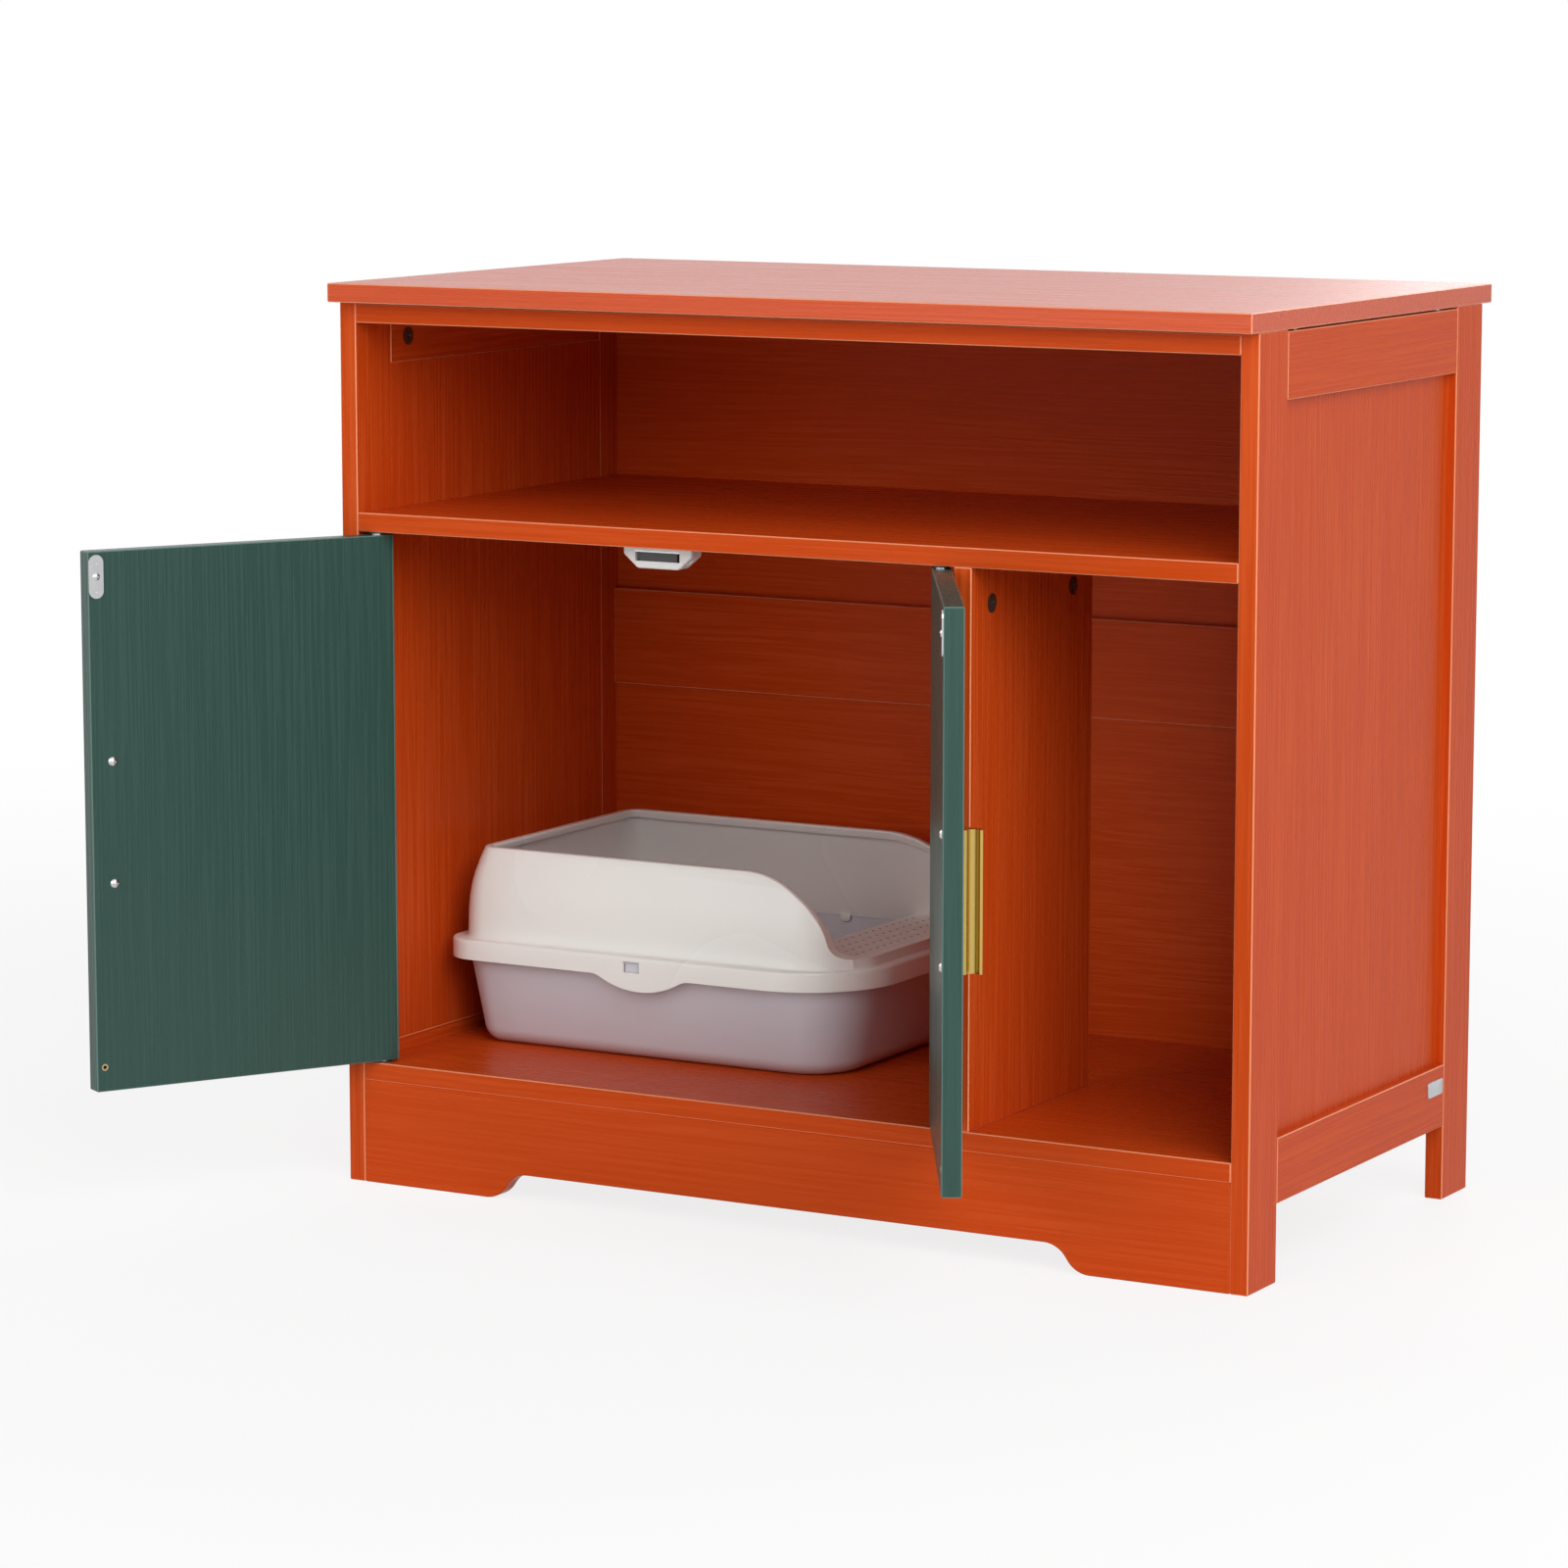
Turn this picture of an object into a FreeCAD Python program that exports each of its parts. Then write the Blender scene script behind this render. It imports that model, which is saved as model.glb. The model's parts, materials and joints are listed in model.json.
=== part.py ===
"""Cat litter box cabinet: an open shelf above a bay with two doors and an open side passage.

The plan's X runs to the right from the outer face of the left side, its Y runs back from the
front faces of the posts, and Z runs up from the floor, all in millimetres. The finished pieces
stand with the middle of the front left foot at the origin. The doors are modelled open, as they
stand at rest.
"""
import FreeCAD
import Part
import Sketcher
import math
import os

SIZES = {
    # carcass
    "frame_width": 798,
    "frame_depth": 418,
    "post_height": 710,
    "board": 15,
    "post_width": 50,
    "side_rail_height": 50,
    "side_rail_floor_gap": 60,
    "rail_drop": 1.5,
    "edge_chamfer": 0.8,
    # top panel
    "top_thick": 15,
    "top_side_overhang": 1,
    "top_front_overhang": 16,
    "top_back_overhang": 16,
    # shelves and divider
    "base_height": 84,
    "bay_height": 429,
    "bay_width": 535,
    "divider_depth": 204,
    "bottom_shelf_inset": 8,
    "stretcher_depth": 60,
    # side panels
    "side_panel_thick": 8,
    "tongue_thick": 4,
    "tongue_inset": 2,
    "groove_depth": 6,
    "groove_end_play": 0.5,
    # back
    "back_rail_inset": 14,
    "back_rail_floor_gap": 363,
    "back_rail_height": 82,
    "back_panel_thick": 5,
    "lower_panel_step": 3.5,
    "upper_panel_step": 7,
    # apron arch
    "arch_foot": 116,
    "arch_run": 38,
    "arch_rise": 21.5,
    # doors
    "door_thick": 15,
    "door_open": 120,
    "door_hinge_gap": 2,
    "door_middle_gap": 3,
    "door_foot_gap": 2,
    "door_head_gap": 2.5,
    "door_hinge_round": 5,
    "door_edge_chamfer": 0.8,
    "pivot_from_edge": 12,
    # pivot pins and bushings
    "pin_radius": 2.5,
    "pin_in_door": 16,
    "pin_in_bushing": 8,
    "pin_collar_radius": 5,
    "pin_collar_thick": 1,
    "pin_tip_chamfer": 0.6,
    "pin_play": 0.05,
    "bushing_radius": 4,
    "bushing_long": 10,
    "bushing_flange_radius": 7,
    "bushing_flange_thick": 1,
    # handles
    "handle_long": 104,
    "handle_from_edge": 9,
    "handle_base_wide": 17,
    "handle_base_thick": 2.5,
    "handle_proud": 14,
    "handle_lip_thick": 2,
    "handle_lip_setback": 1,
    "handle_back_lean": 7,
    "handle_screw_spacing": 96,
    "handle_screw_from_edge": 18,
    "handle_screw_bite": 6,
    "handle_screw_radius": 2,
    "handle_screw_play": 0.2,
    "handle_screw_head_radius": 3.8,
    "handle_screw_head_height": 2.2,
    "cross_slot_long": 4.4,
    "cross_slot_wide": 0.9,
    "cross_slot_deep": 1.2,
    # strike plates
    "strike_long": 34,
    "strike_wide": 12,
    "strike_thick": 1.2,
    "strike_from_edge": 6.5,
    "strike_from_head": 19.5,
    "strike_screw_radius": 1.5,
    "strike_screw_bite": 10,
    "strike_screw_head_radius": 3,
    "strike_screw_head_height": 1.4,
    "strike_dimple_offset": 11,
    "strike_dimple_radius": 1.2,
    # magnetic catch
    "catch_wide": 61.5,
    "catch_nose_wide": 36.5,
    "catch_high": 17.5,
    "catch_side_high": 7,
    "catch_deep": 16,
    "catch_door_gap": 0.3,
    "catch_edge_round": 1,
    "catch_pocket_wide": 40,
    "catch_pocket_deep": 12,
    "pole_thick": 1.2,
    "pole_deep": 11.5,
    "magnet_wide": 34,
    "magnet_high": 7,
    "magnet_deep": 10,
    "magnet_setback": 1,
    "magnet_low_wall": 4.5,
    "catch_screw_offset": 24.5,
    "catch_screw_radius": 1.5,
    "catch_screw_head_radius": 3,
    "catch_screw_head_height": 1.6,
    "catch_screw_bite": 10,
    "catch_screw_web": 5,
    "catch_screw_play": 0.3,
    # cams
    "cam_radius": 7.5,
    "cam_deep": 12,
    "cam_from_edge": 29.5,
    "cam_bolt_radius": 2.5,
    "cam_bolt_head_radius": 3.5,
    "cam_bolt_head_high": 3,
    "cam_bolt_play": 0.3,
    "cam_thread_radius": 3.5,
    "cam_thread_long": 11,
    "cam_slot_long": 9,
    "cam_slot_wide": 1.6,
    "cam_slot_deep": 2,
    "divider_cam_from_edge": 34,
    "side_cam_from_edge": 75,
    # dowels
    "dowel_radius": 4,
    "frame_dowel_long": 24,
    "frame_dowel_from_edge": 12.5,
    "board_dowel_long": 30,
    "board_dowel_in_post": 10,
    "front_dowel_from_edge": 25,
    "rear_dowel_from_edge": 32,
    "apron_dowel_low": 25,
    "apron_dowel_spacing": 35,
    "back_rail_dowel_from_edge": 17,
    "divider_dowel_in_shelf": 10,
    # litter tray
    "tray_left": 27,
    "tray_front": 93,
    "tray_long": 382,
    "tray_back_gap": 11.5,
    "tray_left_round": 30,
    "tray_right_round": 80,
    "tray_wall": 2.5,
    "tub_height": 84,
    "tub_inset": 8,
    "tub_draft": 16,
    "tub_left_round": 34,
    "tub_right_round": 62,
    "tub_foot_round": 16,
    "tub_floor_round": 12,
    "skirt_drop": 12,
    "skirt_top_thick": 4,
    "skirt_play": 0.4,
    "skirt_edge_round": 2.5,
    "tab_wide": 92,
    "tab_drop": 12,
    "tab_share": 0.2,
    "hood_height": 74,
    "hood_inset": 9,
    "hood_draft": 15,
    "hood_left_round": 30,
    "hood_right_round": 60,
    "slope_from_left": 276,
    "slope_run": 90,
    "slope_share": 0.8,
    "entry_rise": 8,
    "rim_high": 7,
    "rim_inward": 4,
    "step_from_left": 293,
    "step_rise": 5,
    "step_thick": 3,
    "snap_from_left": 176,
    "snap_wide": 15,
    "snap_high": 9,
    "snap_play": 0.5,
}

doc = FreeCAD.newDocument("LitterBoxCabinet")
sheet = doc.addObject("Spreadsheet::Sheet", "Sizes")
for row, (alias, number) in enumerate(SIZES.items(), start=1):
    sheet.set(f"A{row}", alias)
    sheet.set(f"B{row}", str(number))
    sheet.setAlias(f"B{row}", alias)
doc.recompute()


class Size:
    """A length that carries both its value and its formula on the size sheet."""

    def __init__(self, text, value):
        self.text = text
        self.value = float(value)

    def __add__(self, other):
        return combine(self, "+", other)

    def __sub__(self, other):
        return combine(self, "-", other)

    def __mul__(self, other):
        return combine(self, "*", other)

    def __truediv__(self, other):
        return combine(self, "/", other)

    def __neg__(self):
        return Size(f"(-1 * {self.text})", -self.value)


def size(number):
    """A plain number as a Size."""
    return number if isinstance(number, Size) else Size(f"({float(number)})", number)


def combine(left, sign, right):
    left = size(left)
    right = size(right)
    value = {
        "+": left.value + right.value,
        "-": left.value - right.value,
        "*": left.value * right.value,
        "/": left.value / right.value if right.value else 0.0,
    }[sign]
    return Size(f"({left.text} {sign} {right.text})", value)

class Cells:
    """The sheet's cells, read by name."""

    def __getattr__(self, alias):
        return Size(f"Sizes.{alias}", SIZES[alias])


s = Cells()
ZERO = size(0)

# ---------------------------------------------------------------- places that pieces share
right_face = s.frame_width - s.board
post_back = s.frame_depth - s.post_width
rail_top = s.post_height - s.rail_drop
top_rail_low = rail_top - s.side_rail_height
bottom_rail_high = s.side_rail_floor_gap + s.side_rail_height
floor_top = s.base_height + s.board
shelf_low = floor_top + s.bay_height
shelf_top = shelf_low + s.board
stretcher_low = rail_top - s.board
divider_left = s.board + s.bay_width
divider_right = divider_left + s.board
back_rail_back = s.frame_depth - s.back_rail_inset
back_rail_face = back_rail_back - s.board
back_rail_high = s.back_rail_floor_gap + s.back_rail_height
lower_panel_face = back_rail_face + s.lower_panel_step
lower_panel_back = lower_panel_face + s.back_panel_thick
upper_panel_face = back_rail_face + s.upper_panel_step
upper_panel_back = upper_panel_face + s.back_panel_thick
stretcher_back = upper_panel_back + s.back_panel_thick
bottom_shelf_back = s.frame_depth - s.bottom_shelf_inset
tray_deep = lower_panel_face - s.tray_front - s.tray_back_gap
door_width = (s.bay_width - s.door_hinge_gap * 2 - s.door_middle_gap) / 2
door_low = floor_top + s.door_foot_gap
door_high = shelf_low - s.door_head_gap
door_mid = (door_low + door_high) / 2
door_free = door_width - s.pivot_from_edge
door_face = s.door_thick / 2
pivot_inset = s.door_hinge_gap + s.pivot_from_edge

# ---------------------------------------------------------------- how pieces are made
AXIS_X = FreeCAD.Vector(1, 0, 0)
AXIS_Y = FreeCAD.Vector(0, 1, 0)
TURNS = {
    "+X": FreeCAD.Rotation(AXIS_Y, 90),
    "-X": FreeCAD.Rotation(AXIS_Y, -90),
    "+Y": FreeCAD.Rotation(AXIS_X, -90),
    "-Y": FreeCAD.Rotation(AXIS_X, 90),
    "+Z": FreeCAD.Rotation(),
    "-Z": FreeCAD.Rotation(AXIS_X, 180),
}
OPPOSITE = {"+X": "-X", "-X": "+X", "+Y": "-Y", "-Y": "+Y", "+Z": "-Z", "-Z": "+Z"}
SIDES = ("left", "right")
pieces = []


def keep(label, thing):
    """Name a finished piece and list it for writing."""
    thing.Label = label
    pieces.append(thing)
    return thing


def bind(thing, **sizes):
    """Tie properties of an object to sizes."""
    for name, value in sizes.items():
        thing.setExpression(name, size(value).text)


def place(thing, point, turn=None):
    """Set where an object's own origin stands, and which way it is turned."""
    if turn:
        thing.Placement = FreeCAD.Placement(FreeCAD.Vector(), turn)
    for axis, value in zip("xyz", point):
        thing.setExpression(f"Placement.Base.{axis}", size(value).text)


def stand(point):
    """Where a point of the plan stands once the front left foot's middle is the origin."""
    return (point[0] - s.board / 2, point[1] - s.post_width / 2, point[2])


def shifted(point, direction, distance):
    """A point moved along one of the six directions."""
    index = "XYZ".index(direction[1])
    moved = list(point)
    moved[index] = moved[index] + distance if direction[0] == "+" else moved[index] - distance
    return tuple(moved)


def origin_part(body, role):
    """An origin plane or axis of a body, by its role."""
    return next(part for part in body.Origin.OriginFeatures if part.Role == role)


class Piece:
    """A body whose frame stands at a corner; its features are given in the cabinet's frame."""

    def __init__(self, name, corner=(ZERO, ZERO, ZERO)):
        self.name = name
        self.corner = corner
        self.body = doc.addObject("PartDesign::Body", name)
        self.list_body()
        place(self.body, stand(corner))

    def list_body(self):
        keep(self.name, self.body)

    def local(self, point):
        return tuple(value - base for value, base in zip(point, self.corner))

    def box(self, name, low, high, cut=True):
        """A box between two corners, cut away or added."""
        kind = "PartDesign::SubtractiveBox" if cut else "PartDesign::AdditiveBox"
        feature = self.body.newObject(kind, f"{self.name}_{name}")
        bind(feature, Length=high[0] - low[0], Width=high[1] - low[1], Height=high[2] - low[2])
        place(feature, self.local(low))
        return feature

    def rod(self, name, start, direction, radius, length, cut=True):
        """A round hole, or a round stub, from a start point."""
        kind = "PartDesign::SubtractiveCylinder" if cut else "PartDesign::AdditiveCylinder"
        feature = self.body.newObject(kind, f"{self.name}_{name}")
        bind(feature, Radius=radius, Height=length)
        place(feature, self.local(start), TURNS[direction])
        return feature

    def chamfer(self, base, chamfer_size, edges=("",)):
        """Break all edges of the last feature, or the ones named."""
        feature = self.body.newObject("PartDesign::Chamfer", f"{self.name}_edges")
        feature.Base = (base, list(edges))
        feature.UseAllEdges = edges == ("",)
        bind(feature, Size=chamfer_size)
        return feature

    def fillet(self, name, radius, wanted):
        """Round the edges of the last feature that the test picks."""
        doc.recompute()
        tip = self.body.Tip
        edges = [
            f"Edge{number}"
            for number, edge in enumerate(tip.Shape.Edges, start=1)
            if wanted(edge)
        ]
        feature = self.body.newObject("PartDesign::Fillet", f"{self.name}_{name}")
        feature.Base = (tip, edges)
        bind(feature, Radius=radius)
        return feature

    def outline(self, name, plane, corners, arcs=None, offset=(ZERO, ZERO, ZERO), mirrored=False):
        """A closed sketch. Corners are (across, up) sizes, each held by two dimensions.

        arcs maps the number of a side to (radius, bulge), where bulge is +1 to the left of the
        way round and -1 to its right; every other side is straight.
        """
        sketch = self.body.newObject("Sketcher::SketchObject", f"{self.name}_{name}")
        sketch.AttachmentSupport = (origin_part(self.body, f"{plane}_Plane"), [""])
        sketch.MapMode = "FlatFace"
        for axis, value in zip("xyz", offset):
            sketch.setExpression(f"AttachmentOffset.Base.{axis}", size(value).text)
        flip = -1 if mirrored else 1
        corners = [(size(across) * flip, size(up)) for across, up in corners]
        spots = [FreeCAD.Vector(across.value, up.value, 0) for across, up in corners]
        starts = []
        for number, spot in enumerate(spots):
            after = spots[(number + 1) % len(spots)]
            if arcs and number in arcs:
                radius, bulge = arcs[number]
                sketch.addGeometry(arc_between(spot, after, size(radius).value, bulge * flip))
            else:
                sketch.addGeometry(Part.LineSegment(spot, after))
            drawn = sketch.Geometry[number]
            forward = drawn.StartPoint.distanceToPoint(spot) < drawn.EndPoint.distanceToPoint(spot)
            starts.append(1 if forward else 2)
        for number, start in enumerate(starts):
            after = (number + 1) % len(starts)
            join = Sketcher.Constraint("Coincident", number, 3 - start, after, starts[after])
            sketch.addConstraint(join)
            for kind, value in zip(("DistanceX", "DistanceY"), corners[number]):
                held = Sketcher.Constraint(kind, -1, 1, number, start, value.value)
                index = sketch.addConstraint(held)
                sketch.setExpression(f"Constraints[{index}]", value.text)
        for number, (radius, _) in (arcs or {}).items():
            radius = size(radius)
            index = sketch.addConstraint(Sketcher.Constraint("Radius", number, radius.value))
            sketch.setExpression(f"Constraints[{index}]", radius.text)
        return sketch

    def feature(self, kind, name, sketch, **sizes):
        """A pad, pocket or revolution of a sketch."""
        made = self.body.newObject(f"PartDesign::{kind}", f"{self.name}_{name}")
        made.Profile = sketch
        if kind == "Revolution":
            made.ReferenceAxis = (sketch, ["V_Axis"])
            made.Angle = 360
        bind(made, **sizes)
        return made

    def combine(self, name, kind, helper):
        """Join a helper body to this one, or cut it away."""
        made = self.body.newObject("PartDesign::Boolean", f"{self.name}_{name}")
        made.Type = kind
        made.addObjects([helper.body])
        return made


class Helper(Piece):
    """A body that only shapes another one: it isn't written, and keeps the plan's own frame."""

    def __init__(self, name):
        super().__init__(name)
        place(self.body, (ZERO, ZERO, ZERO))

    def list_body(self):
        self.body.Label = self.name


def arc_between(start, end, radius, bulge):
    """The shorter arc of a radius between two points, drawn anticlockwise as sketches need it."""
    if bulge > 0:
        start, end = end, start
    chord = end - start
    right = FreeCAD.Vector(chord.y, -chord.x, 0).normalize()
    rise = radius - math.sqrt(max(radius**2 - chord.Length**2 / 4, 0))
    return Part.Arc(start, (start + end) / 2 + right * rise, end)


def board(name, low, high, break_edges=True):
    """A board between two corners, with its edges broken."""
    piece = Piece(name, low)
    blank = piece.box("blank", low, high, cut=False)
    if break_edges:
        doc.recompute()
        piece.chamfer(blank, s.edge_chamfer)
    return piece


def across(side, near, far):
    """X from two depths, counted inwards from a side's outer face."""
    if side == "left":
        return near, far
    return s.frame_width - far, s.frame_width - near


def joint_pegs(label):
    """A node of separate dowels, filled by peg()."""
    group = doc.addObject("Part::Compound", label)
    return keep(label, group)


def peg(group, first, second, joint, direction, back, ahead):
    """A dowel across a joint, with its two holes: back into the first piece, ahead into the second."""
    number = len(group.Links) + 1
    first.rod(f"peg_hole_{group.Label}_{number}", joint, OPPOSITE[direction], s.dowel_radius, back)
    second.rod(f"peg_hole_{group.Label}_{number}", joint, direction, s.dowel_radius, ahead)
    dowel = doc.addObject("Part::Cylinder", f"{group.Label}_{number}")
    bind(dowel, Radius=s.dowel_radius, Height=back + ahead)
    place(dowel, stand(shifted(joint, OPPOSITE[direction], back)), TURNS[direction])
    group.Links = group.Links + [dowel]


# ---------------------------------------------------------------- top, shelves, divider and apron
top_panel = board(
    "top_panel",
    (-s.top_side_overhang, -s.top_front_overhang, s.post_height),
    (
        s.frame_width + s.top_side_overhang,
        s.frame_depth + s.top_back_overhang,
        s.post_height + s.top_thick,
    ),
)
middle_shelf = board(
    "middle_shelf", (s.board, ZERO, shelf_low), (right_face, upper_panel_face, shelf_top)
)
bottom_shelf = board(
    "bottom_shelf", (s.board, ZERO, s.base_height), (right_face, bottom_shelf_back, floor_top)
)
front_stretcher = board(
    "front_stretcher", (s.board, ZERO, stretcher_low), (right_face, s.stretcher_depth, rail_top)
)
rear_stretcher = board(
    "rear_stretcher",
    (s.board, stretcher_back - s.stretcher_depth, stretcher_low),
    (right_face, stretcher_back, rail_top),
)
divider = board(
    "divider", (divider_left, ZERO, floor_top), (divider_right, s.divider_depth, shelf_low)
)
back_rail = board(
    "back_rail",
    (s.board, back_rail_face, s.back_rail_floor_gap),
    (right_face, back_rail_back, back_rail_high),
)


def make_apron():
    """The apron: two feet and a low arch between them, with an ogee at each end of the arch."""
    apron = Piece("front_apron", (s.board, s.board, ZERO))
    length = s.frame_width - s.board * 2
    ogee = (s.arch_run * s.arch_run + s.arch_rise * s.arch_rise) / (s.arch_rise * 4)
    foot = s.arch_foot
    middle = foot + s.arch_run / 2
    crown = foot + s.arch_run
    half_rise = s.arch_rise / 2
    corners = [
        (ZERO, ZERO),
        (foot, ZERO),
        (middle, half_rise),
        (crown, s.arch_rise),
        (length - crown, s.arch_rise),
        (length - middle, half_rise),
        (length - foot, ZERO),
        (length, ZERO),
        (length, s.base_height),
        (ZERO, s.base_height),
    ]
    arcs = {1: (ogee, -1), 2: (ogee, 1), 4: (ogee, 1), 5: (ogee, -1)}
    profile = apron.outline("profile", "XZ", corners, arcs)
    pad = apron.feature("Pad", "pad", profile, Length=s.board)
    doc.recompute()
    apron.chamfer(pad, s.edge_chamfer)
    return apron


front_apron = make_apron()

# ---------------------------------------------------------------- side frames
frames = {}
for side in SIDES:
    near, far = across(side, ZERO, s.board)
    groove_near, groove_far = across(
        side, s.board - s.tongue_inset - s.tongue_thick, s.board - s.tongue_inset
    )
    panel_near, panel_far = across(side, s.board - s.side_panel_thick, s.board)
    middle = (near + far) / 2
    front_post = board(f"{side}_front_post", (near, ZERO, ZERO), (far, s.post_width, s.post_height))
    rear_post = board(
        f"{side}_rear_post", (near, post_back, ZERO), (far, s.frame_depth, s.post_height)
    )
    top_rail = board(
        f"{side}_top_rail", (near, s.post_width, top_rail_low), (far, post_back, rail_top)
    )
    bottom_rail = board(
        f"{side}_bottom_rail",
        (near, s.post_width, s.side_rail_floor_gap),
        (far, post_back, bottom_rail_high),
    )
    groove_low = bottom_rail_high - s.groove_depth
    groove_high = top_rail_low + s.groove_depth
    front_post.box(
        "panel_groove",
        (groove_near, s.post_width - s.groove_depth, groove_low),
        (groove_far, s.post_width, groove_high),
    )
    rear_post.box(
        "panel_groove",
        (groove_near, post_back, groove_low),
        (groove_far, post_back + s.groove_depth, groove_high),
    )
    top_rail.box(
        "panel_groove", (groove_near, s.post_width, top_rail_low), (groove_far, post_back, groove_high)
    )
    bottom_rail.box(
        "panel_groove", (groove_near, s.post_width, groove_low), (groove_far, post_back, bottom_rail_high)
    )
    tongue = s.groove_depth - s.groove_end_play
    panel = Piece(f"{side}_side_panel", (panel_near, s.post_width, bottom_rail_high))
    panel.box(
        "field",
        (panel_near, s.post_width, bottom_rail_high),
        (panel_far, post_back, top_rail_low),
        cut=False,
    )
    panel.box(
        "tongue",
        (groove_near, s.post_width - tongue, bottom_rail_high - tongue),
        (groove_far, post_back + tongue, top_rail_low + tongue),
        cut=False,
    )
    pegs = joint_pegs(f"{side}_frame_dowels")
    reach = s.frame_dowel_long / 2
    for rail, low, high in (
        (bottom_rail, s.side_rail_floor_gap, bottom_rail_high),
        (top_rail, top_rail_low, rail_top),
    ):
        for height in (low + s.frame_dowel_from_edge, high - s.frame_dowel_from_edge):
            peg(pegs, front_post, rail, (middle, s.post_width, height), "+Y", reach, reach)
            peg(pegs, rail, rear_post, (middle, post_back, height), "+Y", reach, reach)
    frames[side] = {"front": front_post, "rear": rear_post, "top_rail": top_rail}

# ---------------------------------------------------------------- dowels between the boards
board_pegs = joint_pegs("board_dowels")
front_row = s.front_dowel_from_edge
rear_row = s.frame_depth - s.rear_dowel_from_edge
half_board = s.board / 2
apron_rows = (s.apron_dowel_low, s.apron_dowel_low + s.apron_dowel_spacing)
back_rail_rows = (
    s.back_rail_floor_gap + s.back_rail_dowel_from_edge,
    back_rail_high - s.back_rail_dowel_from_edge,
)
cross_pegs = [
    (middle_shelf, "front", front_row, shelf_low + half_board),
    (middle_shelf, "rear", rear_row, shelf_low + half_board),
    (bottom_shelf, "front", front_row, s.base_height + half_board),
    (bottom_shelf, "rear", rear_row, s.base_height + half_board),
    (front_stretcher, "front", front_row, stretcher_low + half_board),
    (rear_stretcher, "rear", rear_row, stretcher_low + half_board),
]
cross_pegs += [(front_apron, "front", half_board, height) for height in apron_rows]
cross_pegs += [(back_rail, "rear", back_rail_face + half_board, height) for height in back_rail_rows]
for side in SIDES:
    face = s.board if side == "left" else right_face
    inwards = "+X" if side == "left" else "-X"
    for piece, post, row, height in cross_pegs:
        peg(
            board_pegs,
            frames[side][post],
            piece,
            (face, row, height),
            inwards,
            s.board_dowel_in_post,
            s.board_dowel_long - s.board_dowel_in_post,
        )
for row in (s.divider_cam_from_edge, s.divider_depth - s.divider_cam_from_edge):
    peg(
        board_pegs,
        bottom_shelf,
        divider,
        (divider_left + half_board, row, floor_top),
        "+Z",
        s.divider_dowel_in_shelf,
        s.board_dowel_long - s.divider_dowel_in_shelf,
    )

# ---------------------------------------------------------------- back panels in their grooves
panel_side = s.board - s.groove_depth
tongue = s.groove_depth - s.groove_end_play
back_panels = (
    ("lower_back_panel", lower_panel_face, bottom_shelf, floor_top, back_rail, s.back_rail_floor_gap),
    ("upper_back_panel", upper_panel_face, back_rail, back_rail_high, rear_stretcher, stretcher_low),
)
for name, face, under, low, over, high in back_panels:
    rear = face + s.back_panel_thick
    panel = Piece(name, (s.board - tongue, face, low - tongue))
    panel.box(
        "sheet",
        (s.board - tongue, face, low - tongue),
        (right_face + tongue, rear, high + tongue),
        cut=False,
    )
    under.box(f"groove_{name}", (s.board, face, low - s.groove_depth), (right_face, rear, low))
    over.box(f"groove_{name}", (s.board, face, high), (right_face, rear, high + s.groove_depth))
    post_low = low - s.groove_depth
    post_high = high + s.groove_depth
    frames["left"]["rear"].box(
        f"groove_{name}", (panel_side, face, post_low), (s.board, rear, post_high)
    )
    frames["right"]["rear"].box(
        f"groove_{name}", (right_face, face, post_low), (right_face + s.groove_depth, rear, post_high)
    )


# ---------------------------------------------------------------- cams
def cam_row(name, drawn, over, face, inwards, axis, top, rows):
    """Cam nuts in a board's face, and the bolts they draw down from the board above."""
    height = top - s.cam_from_edge
    bore = s.cam_bolt_head_radius + s.cam_bolt_play
    underside = over.corner[2]
    gap = underside - height
    half_long = s.cam_slot_long / 2
    half_wide = s.cam_slot_wide / 2
    slot_end = shifted((face, ZERO, ZERO), inwards, s.cam_slot_deep)[0]
    slot_x = sorted((face, slot_end), key=lambda end: end.value)
    nuts = Piece(f"{name}_cam_nuts")
    bolts = Piece(f"{name}_cam_bolts")
    for number, row in enumerate(rows, start=1):
        centre = (face, row, height)
        bolt_foot = (axis, row, height)
        drawn.rod(f"cam_hole_{number}", centre, inwards, s.cam_radius, s.cam_deep)
        drawn.rod(f"bolt_hole_{number}", bolt_foot, "+Z", bore, s.cam_from_edge)
        over.rod(
            f"{name}_thread_{number}",
            (axis, row, underside),
            "+Z",
            s.cam_thread_radius,
            s.cam_thread_long,
        )
        nuts.rod(f"disc_{number}", centre, inwards, s.cam_radius, s.cam_deep, cut=False)
        arms = (("slot_y", half_long, half_wide), ("slot_z", half_wide, half_long))
        for slot, reach_y, reach_z in arms:
            nuts.box(
                f"{slot}_{number}",
                (slot_x[0], row - reach_y, height - reach_z),
                (slot_x[1], row + reach_y, height + reach_z),
            )
        nuts.rod(f"mouth_{number}", bolt_foot, "+Z", bore, s.cam_radius * 2)
        profile = bolts.outline(
            f"profile_{number}",
            "XZ",
            [
                (ZERO, ZERO),
                (s.cam_bolt_head_radius, ZERO),
                (s.cam_bolt_head_radius, s.cam_bolt_head_high),
                (s.cam_bolt_radius, s.cam_bolt_head_high * 1.3),
                (s.cam_bolt_radius, gap),
                (s.cam_thread_radius, gap),
                (s.cam_thread_radius, gap + s.cam_thread_long),
                (ZERO, gap + s.cam_thread_long),
            ],
            offset=(axis, height, -row),
        )
        bolts.feature("Revolution", f"turned_{number}", profile)


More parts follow.
